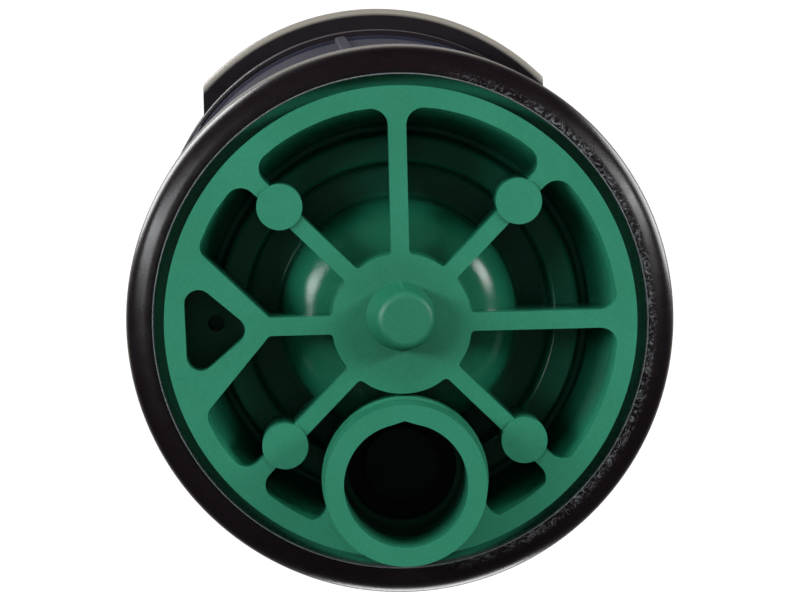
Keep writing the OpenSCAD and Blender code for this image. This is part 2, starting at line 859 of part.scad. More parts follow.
module stator_plate() {
    centre_r = 4;
    centre_up = 0.6;
    color("#e2dfd2")
    difference() {
        union() {
            disc(riser_bore_r - 0.05, stator_z, stator_top);
            disc(centre_r, stator_z - stator_boss_drop, stator_top + centre_up);
        }
        disc(shaft_bore, stator_z - 0.6, stator_top + 1);
        for (i = [0:jet_n - 1])
            rotate([0, 0, i * 360 / jet_n])
                translate([jet_at, 0, stator_z + stator_t / 2])
                    rotate([jet_lean, 0, 0])
                        cylinder(r = jet_r, h = 4 * stator_t, center = true, $fn = 48);
        translate([0, -bypass_at, stator_z - 1]) cylinder(r = bypass_r, h = stator_t + 2);
    }
}

bypass_head_t = 1;
bypass_head_r = bypass_r + 0.6;
bypass_stem_r = 0.6;
bypass_boss_z = case_z - bypass_boss;
bypass_stem_top = case_z + 1.1 - bypass_lift;

module bypass_poppet() {
    color("#f0eee6")
    translate([0, -bypass_at, 0])
        union() {
            disc(bypass_head_r, stator_top, stator_top + bypass_head_t);
            disc(bypass_r - 0.1, stator_top - 1.2, stator_top + eps);
            disc(bypass_stem_r, stator_top, bypass_stem_top);
        }
}

module bypass_spring() {
    color("#c4c8cc")
    translate([0, -bypass_at, stator_top + bypass_head_t])
        coil(1.25, bypass_wire, bypass_turns,
             bypass_boss_z - stator_top - bypass_head_t, 16);
}

// ---------- turbine ----------

module turbine_shaft() {
    color("#c9ccd0")
    disc(turbine_shaft_r, stator_z - 0.5, mid_z + mid_t / 2 - 0.15);
}

module turbine_wheel() {
    hub_out_r = 3;
    web_r = jet_at - 2.2;
    web_t = 1;
    blade_t = 0.8;
    blade_lean = 35;
    color("#f2f0e8")
    difference() {
        union() {
            disc(hub_out_r, turbine_z, turbine_z + turbine_h);
            disc(web_r, turbine_z + turbine_h / 2, turbine_z + turbine_h / 2 + web_t);
            ring(turbine_r, turbine_r - blade_t, turbine_z, turbine_z + turbine_h);
            intersection() {
                disc(turbine_r - 0.3, turbine_z, turbine_z + turbine_h);
                for (i = [0:blade_n - 1])
                    rotate([0, 0, i * 360 / blade_n])
                        translate([hub_out_r - 0.5, 0, turbine_z + turbine_h / 2])
                            rotate([-blade_lean, 0, 0])
                                translate([0, -blade_t / 2, -turbine_h])
                                    cube([turbine_r, blade_t, 2 * turbine_h]);
            }
        }
        disc(turbine_shaft_r, turbine_z - 1, turbine_z + turbine_h + 1);
    }
}

module turbine_pinion() {
    color("#c9a24a")
    translate([0, 0, level_1 - 0.3]) spur(pinion_z, gear_w + 0.6, turbine_shaft_r);
}

module shaft_bush() {
    color("#b08d4a")
    ring(shaft_bush_r, shaft_bore, case_z - bush_over, case_z + case_floor + bush_over);
}

// ---------- gear cartridge ----------

pin_boss_r = 2;
pin_boss_up = 0.8;
pin_seat = 0.8;

module gear_case() {
    lug_r = 2.3;
    color("#d7d3c4")
    difference() {
        union() {
            disc(case_r, case_z, case_z + case_floor);
            ring(case_r, case_in_r, case_z, case_top - case_floor);
            translate([0, -bypass_at, bypass_boss_z])
                cylinder(r = lug_r, h = case_floor + bypass_boss);
            // Boss that carries the side pin
            translate([gear_cd, 0, case_z])
                cylinder(r = pin_boss_r, h = case_floor + pin_boss_up);
            for (i = [0:fin_n - 1])
                rotate([0, 0, 45 + i * 360 / fin_n])
                    translate([case_r - 0.5, -fin_t / 2, 0]) {
                        translate([0, 0, case_z])
                            cube([riser_bore_r - case_r + 0.4, fin_t,
                                  case_h - case_floor]);
                        translate([0.6, 0, stator_top])
                            cube([riser_bore_r - case_r - 0.2, fin_t, turbine_room + 1]);
                    }
        }
        disc(shaft_bush_r, case_z - 1, case_z + case_floor + 1);
        translate([gear_cd, 0, case_z + pin_seat]) cylinder(r = gear_pin_r, h = case_h, $fn = 48);
        // Blind guide hole for the bypass stem
        translate([0, -bypass_at, bypass_boss_z - 1])
            cylinder(r = bypass_stem_r + 0.05, h = case_z - bypass_boss_z + 2.3, $fn = 48);
    }
}

// Width of the output bush, and how far its boss hangs below the cover
bush_w = 1.6;
bush_boss = 1;

module case_cover() {
    color("#cfcab9")
    difference() {
        union() {
            disc(case_r, case_top - case_floor, case_top);
            ring(case_in_r - 0.05, case_in_r - 1, case_top - case_floor - 1.5, case_top - 1);
            disc(out_shaft_r + 3, case_top - case_floor - bush_boss, case_top);
            translate([gear_cd, 0, case_top - case_floor - bush_boss])
                cylinder(r = pin_boss_r, h = 2 * bush_boss);
        }
        disc(out_shaft_r + bush_w, case_top - case_floor - 2 * bush_boss, case_top + 1);
        // Blind hole for the side pin
        translate([gear_cd, 0, case_top - case_floor - 2 * bush_boss])
            cylinder(r = gear_pin_r, h = case_floor + 2 * bush_boss - pin_seat, $fn = 48);
    }
}

module middle_plate() {
    color("#bdb8a6")
    difference() {
        disc(case_in_r - 0.02, mid_z, mid_z + mid_t);
        disc(shaft_bore, mid_z - 1, mid_z + mid_t / 2);
        disc(gear_pin_r, mid_z, mid_z + mid_t + 1);
        translate([gear_cd, 0, mid_z - 1])
            cylinder(r = pinion_tip_r + 0.4, h = mid_t + 2);
    }
}

pin_c_top = level_1 + 3 * level_h + gear_w / 2 - 0.5;

module pin_centre() {
    color("#d4d7da")
    disc(gear_pin_r, mid_z + mid_t / 2, pin_c_top);
}

module pin_side() {
    color("#d4d7da")
    translate([gear_cd, 0, 0]) disc(gear_pin_r, case_z + pin_seat, case_top - pin_seat);
}

module compound_gear_1() {
    color("#e6c25a")
    translate([gear_cd, 0, 0]) compound(1);
}

module compound_gear_2() {
    color("#c9a24a")
    compound(2);
}

// The third pair stands on a hub that keeps it clear of the first.
module compound_gear_3() {
    color("#e6c25a")
    translate([gear_cd, 0, 0]) {
        compound(3);
        ring(1.7, gear_pin_r + 0.05, level_1 + level_h + gear_w + 0.3,
             level_1 + 2 * level_h + eps);
    }
}

out_z = level_1 + 3 * level_h;
out_foot_r = 1.5;

module output_gear() {
    color("#c9a24a")
    difference() {
        union() {
            translate([0, 0, out_z]) rotate([0, 0, 180 / wheel_z])
                linear_extrude(height = gear_w) spur_2d(wheel_z, gear_m);
            disc(2.6, level_1 + 2 * level_h + gear_w + 0.3, out_z + gear_w + 0.5);
        }
        disc(gear_pin_r + 0.05, level_1 + 2 * level_h, pin_c_top + 0.3);
        disc(out_foot_r, out_z + gear_w / 2, out_z + gear_w + 1);
    }
}

module output_shaft() {
    color("#c9ccd0")
    union() {
        disc(out_foot_r, out_z + gear_w / 2, out_z + gear_w + 0.5 + eps);
        disc(out_shaft_r, out_z + gear_w + 0.5, drive_hub_z);
        translate([0, 0, drive_hub_z - eps])
            cylinder(r = out_shaft_r, h = hub_drop + 2, $fn = 6);
    }
}

out_seal_h = 1.8;
out_seal_z = case_top - 1.2;

module output_bush() {
    color("#b08d4a")
    ring(out_shaft_r + bush_w, out_shaft_r + stem_gap, case_top - case_floor - bush_boss,
         out_seal_z);
}

module output_seal() {
    color("#1f1f22")
    squeezed_ring(out_shaft_r + seal_gap, out_shaft_r + bush_w, out_seal_z, out_seal_h);
}

// ---------- turret ----------

neck_seal_w = 1.2;
neck_seal_h = 1.6;
neck_seal_z = nut_z + 3;

module bearing_nut() {
    color("#303036")
    difference() {
        union() {
            ring(riser_bore_r - 0.05, sleeve_r + run_gap, nut_z, riser_top);
            ring(riser_r - 0.05, sleeve_r + run_gap, riser_top, riser_top + nut_lip);
        }
        // Gland for the neck seal
        ring(sleeve_r + neck_seal_w, sleeve_r - 1, neck_seal_z, neck_seal_z + neck_seal_h);
    }
}

module thrust_washer() {
    color("#f4f2ec")
    ring(riser_bore_r - 0.3, sleeve_r + run_gap, thrust_z, nut_z);
}

module neck_seal() {
    color("#1f1f22")
    squeezed_ring(sleeve_r + seal_gap, sleeve_r + neck_seal_w, neck_seal_z, neck_seal_h);
}

sleeve_top = turret_z + 6;

module drive_sleeve() {
    drive_hub_r = 4.8;
    arm_t = 2;
    color("#dedbd0")
    difference() {
        union() {
            ring(sleeve_r, sleeve_r - sleeve_wall, sleeve_z, sleeve_top);
            ring(sleeve_flange_r, sleeve_r - sleeve_wall, sleeve_z, thrust_z - eps);
            disc(drive_hub_r, drive_hub_z, thrust_z);
            for (a = [0:90:270])
                rotate([0, 0, a]) translate([0, -arm_t / 2, sleeve_z])
                    cube([sleeve_r - 1, arm_t, thrust_z - sleeve_z]);
        }
        translate([0, 0, drive_hub_z - 1])
            cylinder(r = out_shaft_r + 0.04, h = hub_drop + 3.2, $fn = 6);
    }
}

// Nozzle axis: it starts in the water room and leaves through the side at +X.
nozzle_x = 6;
nozzle_z = sleeve_top + room_h;
nozzle_back = 4;
nozzle_len = 24;

module along_nozzle() {
    translate([nozzle_x, 0, nozzle_z]) rotate([0, 90 - nozzle_ang, 0]) children();
}

screw_top = turret_top - 4.5;
screw_foot = nozzle_z + (screw_at - nozzle_x) * tan(nozzle_ang) + nozzle_mouth_r - 0.6;

// The socket in the turret's top for the plug of the rubber cover
cover_plug_h = 4;
cover_socket_w = 3;

module turret_housing() {
    color("#2b2b30")
    difference() {
        disc(riser_r - 0.1, turret_z, turret_top);
        disc(sleeve_r, turret_z - 1, sleeve_top);
        disc(sleeve_r - sleeve_wall, sleeve_top - 1, nozzle_z + 2);
        along_nozzle() cylinder(r = nozzle_r, h = nozzle_len + 10);
        translate([screw_at, 0, nozzle_z]) cylinder(r = screw_r + 0.05, h = 60, $fn = 48);
        disc(riser_r - cover_socket_w, turret_top - cover_plug_h, turret_top + 1);
    }
}

module nozzle() {
    color("#3a6fb0")
    intersection() {
        difference() {
            along_nozzle()
                difference() {
                    translate([0, 0, nozzle_back]) cylinder(r = nozzle_r, h = nozzle_len);
                    translate([0, 0, nozzle_back - 1])
                        cylinder(r1 = nozzle_r - 0.8, r2 = nozzle_mouth_r, h = 9);
                    cylinder(r = nozzle_mouth_r, h = nozzle_len + 10);
                }
            translate([screw_at, 0, nozzle_z + (screw_at - nozzle_x) * tan(nozzle_ang)])
                cylinder(r = screw_r + 0.05, h = 12, $fn = 48);
        }
        disc(riser_r - 0.3, turret_z, turret_top);
    }
}

module radius_screw() {
    socket_r = 0.9;
    color("#c9ccd0")
    translate([screw_at, 0, 0])
        difference() {
            union() {
                disc(screw_r, screw_foot + 1, screw_top);
                translate([0, 0, screw_foot])
                    cylinder(r1 = 0.7, r2 = screw_r, h = 1 + eps);
            }
            translate([0, 0, screw_top - 2]) cylinder(r = socket_r, h = 3, $fn = 6);
        }
}

module top_cover() {
    cover_r = riser_r + cover_out;
    cover_top = total_h + cover_proud;
    edge = 0.8;
    key_hole_r = 1.2;
    lift_hole_r = 1.6;
    lift_hole_at = 12;
    color("#17171a")
    difference() {
        union() {
            disc(cover_r, recess_z + 0.1, cover_top - edge);
            translate([0, 0, cover_top - edge])
                cylinder(r1 = cover_r, r2 = cover_r - edge, h = edge);
            disc(riser_r - cover_socket_w, turret_top - cover_plug_h, recess_z + 0.2);
        }
        // Three key holes: one over the radius screw and two to lift the riser by hand
        translate([screw_at, 0, turret_top - cover_plug_h - 1])
            cylinder(r = key_hole_r, h = 2 * cover_plug_h + 4, $fn = 48);
        for (a = [120, 240])
            rotate([0, 0, a]) translate([lift_hole_at, 0, turret_top - cover_plug_h / 2])
                cylinder(r = lift_hole_r, h = 2 * cover_plug_h + 4, $fn = 48);
    }
}

inlet_base();
base_collar();
base_seal();
body_can();
body_cap();
cap_gasket();
wiper_seal();
seal_retainer();
retraction_spring();
valve_cage();
valve_poppet();
valve_gasket();
valve_spring();
riser_tube();
guide_ring();
spring_washer();
riser_filter();
stator_plate();
bypass_poppet();
bypass_spring();
turbine_shaft();
turbine_wheel();
turbine_pinion();
shaft_bush();
gear_case();
case_cover();
middle_plate();
pin_centre();
pin_side();
compound_gear_1();
compound_gear_2();
compound_gear_3();
output_gear();
output_shaft();
output_bush();
output_seal();
bearing_nut();
thrust_washer();
neck_seal();
drive_sleeve();
turret_housing();
nozzle();
radius_screw();
top_cover();
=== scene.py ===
import json
import math

import bmesh
import bpy
from mathutils import Matrix, Vector


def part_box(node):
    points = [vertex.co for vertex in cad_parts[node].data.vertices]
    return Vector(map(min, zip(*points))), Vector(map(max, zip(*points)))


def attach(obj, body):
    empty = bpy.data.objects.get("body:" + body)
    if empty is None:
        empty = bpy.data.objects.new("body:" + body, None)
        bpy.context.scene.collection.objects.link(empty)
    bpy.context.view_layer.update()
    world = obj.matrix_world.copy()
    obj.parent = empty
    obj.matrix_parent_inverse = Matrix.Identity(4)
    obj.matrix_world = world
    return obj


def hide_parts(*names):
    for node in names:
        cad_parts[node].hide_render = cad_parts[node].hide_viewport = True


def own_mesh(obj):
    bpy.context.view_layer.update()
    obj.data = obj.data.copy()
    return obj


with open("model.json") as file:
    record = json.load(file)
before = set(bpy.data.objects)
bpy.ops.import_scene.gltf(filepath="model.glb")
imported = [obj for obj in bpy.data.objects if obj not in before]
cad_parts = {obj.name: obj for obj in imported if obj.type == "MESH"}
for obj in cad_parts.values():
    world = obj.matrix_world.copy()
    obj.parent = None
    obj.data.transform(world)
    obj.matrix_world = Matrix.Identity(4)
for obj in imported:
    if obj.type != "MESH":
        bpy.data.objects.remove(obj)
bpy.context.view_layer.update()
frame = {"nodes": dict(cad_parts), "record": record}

# ------------------------------------------------------------------ camera
# It looks up at the underside of the sprinkler from below, nearly along the can,
# with the far end a little up and to the left, and the wheel turned by a hair.
LENS_MM = 250.4
near_point = Vector((0, 0, 0.0155))  # the middle of the collar
near_seen = Vector((0.0, -0.0026, -0.742))  # where the camera has it
can_seen = Vector((-0.0201, 0.0614, -0.9979)).normalized()  # which way the can runs from it
roll = math.radians(1.4)
right_seen = Vector((math.cos(roll), math.sin(roll), 0))
right_seen = (right_seen - can_seen * right_seen.dot(can_seen)).normalized()
down_seen = can_seen.cross(right_seen)
to_camera = Matrix((
    (right_seen.x, down_seen.x, can_seen.x),
    (right_seen.y, down_seen.y, can_seen.y),
    (right_seen.z, down_seen.z, can_seen.z),
))
to_world = to_camera.transposed()
camera_data = bpy.data.cameras.new("camera")
camera_data.lens = LENS_MM
camera_data.clip_end = 20
camera = bpy.data.objects.new("camera", camera_data)
bpy.context.scene.collection.objects.link(camera)
camera.matrix_world = Matrix.Translation(near_point - to_world @ near_seen) @ to_world.to_4x4()
bpy.context.scene.camera = camera

# ------------------------------------------------------------- floor, light
# A pale studio floor that is seen only from above, so that it never hides the underside,
# soft boxes round the inlet end, and softer ones over the top for the other sides.


def clear_choice():
    bpy.ops.object.select_all(action="DESELECT")


def take(piece):
    clear_choice()
    piece.select_set(True)
    bpy.context.view_layer.objects.active = piece


FLOOR_SIZE = 6
FLOOR_Z = -0.0004
clear_choice()
bpy.ops.mesh.primitive_plane_add(size=FLOOR_SIZE, location=(0, 0, FLOOR_Z))
floor = bpy.context.object
floor.name = "floor"
bpy.ops.object.transform_apply(location=True)
floor_paint = bpy.data.materials.new("floor_paint")
floor_paint.use_nodes = True
nodes, links = floor_paint.node_tree.nodes, floor_paint.node_tree.links
shader = nodes["Principled BSDF"]
shader.inputs["Base Color"].default_value = (0.82, 0.82, 0.82, 1)
shader.inputs["Roughness"].default_value = 0.9
shader.inputs["Emission Color"].default_value = (1, 1, 1, 1)
shader.inputs["Emission Strength"].default_value = 0.4
clear = nodes.new("ShaderNodeBsdfTransparent")
sides = nodes.new("ShaderNodeMixShader")
geometry = nodes.new("ShaderNodeNewGeometry")
links.new(geometry.outputs["Backfacing"], sides.inputs["Fac"])
links.new(shader.outputs["BSDF"], sides.inputs[1])
links.new(clear.outputs["BSDF"], sides.inputs[2])
links.new(sides.outputs["Shader"], nodes["Material Output"].inputs["Surface"])
floor.data.materials.append(floor_paint)
floor.visible_shadow = False
floor.visible_diffuse = False
floor.visible_glossy = False
floor.visible_transmission = False

world = bpy.data.worlds.new("studio")
bpy.context.scene.world = world
world.use_nodes = True
nodes, links = world.node_tree.nodes, world.node_tree.links
surround = nodes["Background"]
surround.inputs["Color"].default_value = (0.86, 0.92, 1.0, 1)
surround.inputs["Strength"].default_value = 0.11
# Reflections see a dark room on the near side and the white paper on the far side
room = nodes.new("ShaderNodeTexCoord")
heading = nodes.new("ShaderNodeSeparateXYZ")
links.new(room.outputs["Generated"], heading.inputs["Vector"])
ahead = nodes.new("ShaderNodeMapRange")
ahead.inputs["From Min"].default_value = 0.6
ahead.inputs["From Max"].default_value = 0.95
ahead.inputs["To Min"].default_value = 0.02
ahead.inputs["To Max"].default_value = 0.6
links.new(heading.outputs["Z"], ahead.inputs["Value"])
dim = nodes.new("ShaderNodeBackground")
dim.inputs["Color"].default_value = (1.0, 0.96, 0.88, 1)
links.new(ahead.outputs["Result"], dim.inputs["Strength"])
paper = nodes.new("ShaderNodeBackground")
paper.inputs["Color"].default_value = (1, 1, 1, 1)
paper.inputs["Strength"].default_value = 1.1
seen_by = nodes.new("ShaderNodeLightPath")
which = nodes.new("ShaderNodeMixShader")
mirrored = nodes.new("ShaderNodeMixShader")
links.new(seen_by.outputs["Is Glossy Ray"], mirrored.inputs["Fac"])
links.new(surround.outputs["Background"], mirrored.inputs[1])
links.new(dim.outputs["Background"], mirrored.inputs[2])
links.new(seen_by.outputs["Is Camera Ray"], which.inputs["Fac"])
links.new(mirrored.outputs["Shader"], which.inputs[1])
links.new(paper.outputs["Background"], which.inputs[2])
links.new(which.outputs["Shader"], nodes["World Output"].inputs["Surface"])
bpy.context.scene.view_settings.view_transform = "Standard"


def soft_box(name, place, aim, width, height, watts, tint=(1, 1, 1)):
    """A rectangular studio lamp that faces a point."""
    lamp = bpy.data.lights.new(name, "AREA")
    lamp.shape = "RECTANGLE"
    lamp.size = width
    lamp.size_y = height
    lamp.energy = watts
    lamp.color = tint
    stand = bpy.data.objects.new(name, lamp)
    bpy.context.scene.collection.objects.link(stand)
    stand.location = place
    stand.rotation_euler = (Vector(aim) - Vector(place)).to_track_quat("-Z", "Y").to_euler()
    return stand


BASE_AIM = (0, 0, 0.015)
TOP_AIM = (0, 0, 0.12)
soft_box("key_left", (-0.62, -0.2, -0.4), BASE_AIM, 0.16, 0.75, 4.8, (0.95, 0.98, 1.0))
soft_box("fill_right", (0.62, -0.26, -0.4), BASE_AIM, 0.12, 0.55, 3.4)
for wash in (soft_box("key_over", (-0.12, -0.75, -0.28), BASE_AIM, 0.7, 0.4, 2.4),
             soft_box("fill_under", (0.05, 0.7, -0.3), BASE_AIM, 0.6, 0.3, 1.0),
             soft_box("front_wash", (0.0, 0.0, -0.9), BASE_AIM, 0.5, 0.5, 0.3)):
    wash.visible_glossy = False
soft_box("high_left", (-0.7, -0.5, 0.8), TOP_AIM, 0.6, 0.6, 9)
soft_box("high_right", (0.8, -0.3, 0.6), TOP_AIM, 0.5, 0.6, 6)
soft_box("high_back", (0.1, 0.9, 0.7), TOP_AIM, 0.6, 0.5, 6)

# -------------------------------------------------------------- inlet base
# The green base is one moulding of glass-filled nylon: a spoked wheel in front of a stepped
# and domed bulkhead, with the pipe spigot through it. It pushes into the can with a seal.
MM = 0.001
TURN_STEPS = 160
SHARP = math.radians(35)


def rounded(corners, short=5):
    """Rounds each corner (x, y, radius) of a closed outline with a few short steps."""
    points = []
    for i, (x, y, radius) in enumerate(corners):
        here = Vector((x, y))
        if not radius:
            points.append((x, y))
            continue
        before = (Vector(corners[i - 1][:2]) - here).normalized()
        after = (Vector(corners[(i + 1) % len(corners)][:2]) - here).normalized()
        half = before.angle(after) / 2
        centre = here + (before + after).normalized() * (radius / math.sin(half))
        reach = radius / math.tan(half)
        first = here + before * reach - centre
        last = here + after * reach - centre
        start = math.atan2(first.y, first.x)
        sweep = (math.atan2(last.y, last.x) - start + math.pi) % (2 * math.pi) - math.pi
        for k in range(short + 1):
            angle = start + sweep * k / short
            points.append((centre.x + radius * math.cos(angle),
                           centre.y + radius * math.sin(angle)))
    return points


def drawn(name, points, edges, faces):
    """A new piece from a few drawn points, selected and active."""
    mesh = bpy.data.meshes.new(name)
    mesh.from_pydata([(x * MM, y * MM, z * MM) for x, y, z in points], edges, faces)
    piece = bpy.data.objects.new(name, mesh)
    bpy.context.scene.collection.objects.link(piece)
    take(piece)
    return piece


def turned(name, profile, steps=TURN_STEPS):
    """Spins a closed profile of radius and height, in millimetres, round the can's axis."""
    count = len(profile)
    piece = drawn(name, [(r, 0, z) for r, z in profile],
                  [(i, (i + 1) % count) for i in range(count)], [])
    bpy.ops.object.mode_set(mode="EDIT")
    bpy.ops.mesh.select_all(action="SELECT")
    bpy.ops.mesh.spin(steps=steps, angle=2 * math.pi, center=(0, 0, 0), axis=(0, 0, 1))
    bpy.ops.mesh.select_all(action="SELECT")
    bpy.ops.mesh.remove_doubles(threshold=0.000001)
    bpy.ops.mesh.delete_loose()
    bpy.ops.mesh.select_all(action="SELECT")
    bpy.ops.mesh.normals_make_consistent(inside=False)
    bpy.ops.object.mode_set(mode="OBJECT")
    return piece


def pulled(name, outline, low, high):
    """Pulls a flat outline, in millimetres, up from one height to another."""
    piece = drawn(name, [(x, y, low) for x, y in outline], [], [list(range(len(outline)))])
    bpy.ops.object.mode_set(mode="EDIT")
    bpy.ops.mesh.select_all(action="SELECT")
    bpy.ops.mesh.extrude_region_move(
        TRANSFORM_OT_translate={"value": (0, 0, (high - low) * MM)})
    bpy.ops.mesh.select_all(action="SELECT")
    bpy.ops.mesh.normals_make_consistent(inside=False)
    bpy.ops.object.mode_set(mode="OBJECT")
    return piece


def round_bar(name, radius, low, high, at=(0, 0), sides=96):
    """A straight round bar between two heights, in millimetres."""
    clear_choice()
    bpy.ops.mesh.primitive_cylinder_add(
        vertices=sides, radius=radius * MM, depth=(high - low) * MM,
        location=(at[0] * MM, at[1] * MM, (low + high) / 2 * MM))
    bar = bpy.context.object
    bar.name = name
    bpy.ops.object.transform_apply(location=True)
    return bar


def combine(piece, tool, how):
    """Joins a tool to a piece, cuts it away or keeps what they share, and drops the tool."""
    take(piece)
    step = piece.modifiers.new(how.lower(), "BOOLEAN")
    step.operation = how
    step.solver = "EXACT"
    step.object = tool
    bpy.ops.object.modifier_apply(modifier=step.name)
    bpy.data.objects.remove(tool)


def soften(piece, width, segments, wanted):
    """Bevels the sharp edges that a test picks by their place."""
    take(piece)
    bpy.ops.object.mode_set(mode="EDIT")
    bpy.ops.mesh.select_mode(type="EDGE")
    bpy.ops.mesh.select_all(action="DESELECT")
    work = bmesh.from_edit_mesh(piece.data)
    for edge in work.edges:
        if len(edge.link_faces) == 2 and edge.calc_face_angle(0) > SHARP:
            a, b = (v.co / MM for v in edge.verts)
            edge.select_set(wanted(a, b))
    bmesh.update_edit_mesh(piece.data)
    bpy.ops.mesh.bevel(offset=width * MM, segments=segments, profile=0.5, clamp_overlap=True)
    bpy.ops.object.mode_set(mode="OBJECT")


def tidy_mesh(piece, angle=32):
    """Merges doubled points, turns the faces outwards and sets the shading."""
    take(piece)
    bpy.ops.object.mode_set(mode="EDIT")
    bpy.ops.mesh.select_all(action="SELECT")
    bpy.ops.mesh.remove_doubles(threshold=0.000002)
    bpy.ops.mesh.dissolve_degenerate(threshold=0.000002)
    bpy.ops.mesh.select_all(action="SELECT")
    bpy.ops.mesh.normals_make_consistent(inside=False)
    bpy.ops.object.mode_set(mode="OBJECT")
    bpy.ops.object.shade_smooth_by_angle(angle=math.radians(angle))
    even = piece.modifiers.new("even", "WEIGHTED_NORMAL")
    even.keep_sharp = True
    bpy.ops.object.modifier_apply(modifier=even.name)
    # Faces square to the axis stay evenly lit right up to their rounded edges
    mesh = piece.data
    level = {}
    for face in mesh.polygons:
        if abs(face.normal.z) > 0.9999:
            square = Vector((0, 0, math.copysign(1, face.normal.z)))
            for point in face.vertices:
                level[point] = square
    normals = [corner.vector.copy() for corner in mesh.corner_normals]
    for face in mesh.polygons:
        for corner, point in zip(face.loop_indices, face.vertices):
            if point in level and face.normal.dot(level[point]) > 0.9:
                normals[corner] = level[point]
    mesh.normals_split_custom_set(normals)


def moulded(name, dark, light, rough, grain_mm, grain_depth, mottle_mm=9, shine=0.5,
            metallic=0.0):
    """Moulded or turned stock: two close tones, a fine grain and an uneven gloss."""
    stock = bpy.data.materials.new(name)
    stock.use_nodes = True
    nodes, links = stock.node_tree.nodes, stock.node_tree.links
    shader = nodes["Principled BSDF"]
    shader.inputs["Metallic"].default_value = metallic
    shader.inputs["Specular IOR Level"].default_value = shine
    place = nodes.new("ShaderNodeTexCoord").outputs["Object"]

    def noise(size_mm, detail):
        node = nodes.new("ShaderNodeTexNoise")
        node.inputs["Scale"].default_value = 1000 / size_mm
        node.inputs["Detail"].default_value = detail
        links.new(place, node.inputs["Vector"])
        return node.outputs["Fac"]

    tone = nodes.new("ShaderNodeValToRGB")
    tone.color_ramp.elements[0].position = 0.3
    tone.color_ramp.elements[0].color = (*dark, 1)
    tone.color_ramp.elements[1].position = 0.7
    tone.color_ramp.elements[1].color = (*light, 1)
    speckle = nodes.new("ShaderNodeMix")
    speckle.inputs["Factor"].default_value = 0.45
    links.new(noise(mottle_mm, 5), speckle.inputs["A"])
    links.new(noise(grain_mm * 1.4, 2), speckle.inputs["B"])
    links.new(speckle.outputs["Result"], tone.inputs["Fac"])
    links.new(tone.outputs["Color"], shader.inputs["Base Color"])
    gloss = nodes.new("ShaderNodeMapRange")
    gloss.inputs["To Min"].default_value = rough - 0.06
    gloss.inputs["To Max"].default_value = rough + 0.08
    links.new(noise(mottle_mm / 3, 3), gloss.inputs["Value"])
    links.new(gloss.outputs["Result"], shader.inputs["Roughness"])
    bump = nodes.new("ShaderNodeBump")
    bump.inputs["Strength"].default_value = 0.6
    bump.inputs["Distance"].default_value = grain_depth * MM
    links.new(noise(grain_mm, 3), bump.inputs["Height"])
    links.new(bump.outputs["Normal"], shader.inputs["Normal"])
    return stock


def dress(piece, stock):
    """Gives a piece one material."""
    piece.data.materials.clear()
    piece.data.materials.append(stock)


FACE_Z = 10
BASE_TOP = 34
FLANGE_R = 33.9
FLANGE_LOW = 15.5
FLANGE_HIGH = 18.5
RIM_IN = 28.85
PLUG_R = 31.35
HUB_R = 9.3
SPIGOT_Y = 20.8
SPIGOT_R = 10.65
BORE_R = 8.15
SEAT_R = 7.4
SEAT_Z = 29
ROOT_R = 11.0
DOME_R = 15.9
DOME_Z = 17.4
DOME_ROUND = 5.6
TRENCH_Z = 28
LEDGE_Z = 24.4
SPOKE_HALF = 1.2
RIB_HALF = 1.1
RIB_ANGLES = (45, 135, 225, 315)
BOSS_R = 3.05
BOSS_AT = 0.715
HUB_FILLET = 0.6
WHEEL_OFF = Vector((0.15, 0.2))
FORK = (-17.6, -1.2)
FORK_END = (-26.9, -10.4)
FORK_LOW = (-26.4, 11.5)
POCKET = [(-28.7, -7.3), (-19.6, 0.6), (-28.4, 7.9)]
POCKET_FILLET = 1.9
DRAIN_R = 1.1
DRAIN_AT = (-24.6, 0.3)
POST_AT = (-0.1, -0.85)
POST_LEAN = (0.75, 0.3)
NOTCH_HALF = 2.1
SEAL_IN = 29.9
SEAL_LOW = 23.5
SEAL_HIGH = 25.7


def unit(degrees):
    angle = math.radians(degrees)
    return Vector((math.cos(angle), math.sin(angle)))


def arc(radius, start, end, step, centre=(0, 0)):
    """Plain corners along an arc, from one angle to another in even steps of a few degrees."""
    count = max(1, round(abs(end - start) / step))
    return [(*(Vector(centre) + unit(start + (end - start) * k / count) * radius), 0)
            for k in range(count + 1)]


def on_circle(radius, degrees, half, fillet):
    """Corner where the side of a rib, half a width from its middle line, meets a circle."""
    return (*(unit(degrees + math.degrees(math.asin(half / radius))) * radius), fillet)


def swing(corner):
    return math.degrees(math.atan2(corner[1], corner[0])) % 360


def open_cell(first, first_half, last, last_half):
    """Outline of a cell between two ribs, the hub and the rim."""
    rim = [on_circle(RIM_IN, first, first_half, 2.3), on_circle(RIM_IN, last, -last_half, 2.3)]
    hub = [on_circle(HUB_R, first, first_half, HUB_FILLET),
           on_circle(HUB_R, last, -last_half, HUB_FILLET)]
    span = (last - first) / 2
    middle = first + span
    outer = arc(RIM_IN, middle - span + 11, middle + span - 11, 3)
    inner = arc(HUB_R, middle + span - 17, middle - span + 17, 4)
    return rounded([rim[0]] + outer + [rim[1], hub[1]] + inner + [hub[0]], 7)


def beside_fork(end, side):
    """Outline of a cell beside the fork that the left spoke makes round the pocket."""
    return rounded(
        [(*end, POCKET_FILLET)] + arc(RIM_IN, swing(end) + 7 * side, 180 + 33 * side, 3)
        + [on_circle(RIM_IN, 180 + 45 * side, -side * RIB_HALF, 2.2),
           on_circle(HUB_R, 180 + 45 * side, -side * RIB_HALF, HUB_FILLET)]
        + arc(HUB_R, 180 + 28 * side, 180 + 16 * side, 4)
        + [on_circle(HUB_R, 180, side * SPOKE_HALF, HUB_FILLET),
           (FORK[0], side * FORK[1], 0.8)], 7)


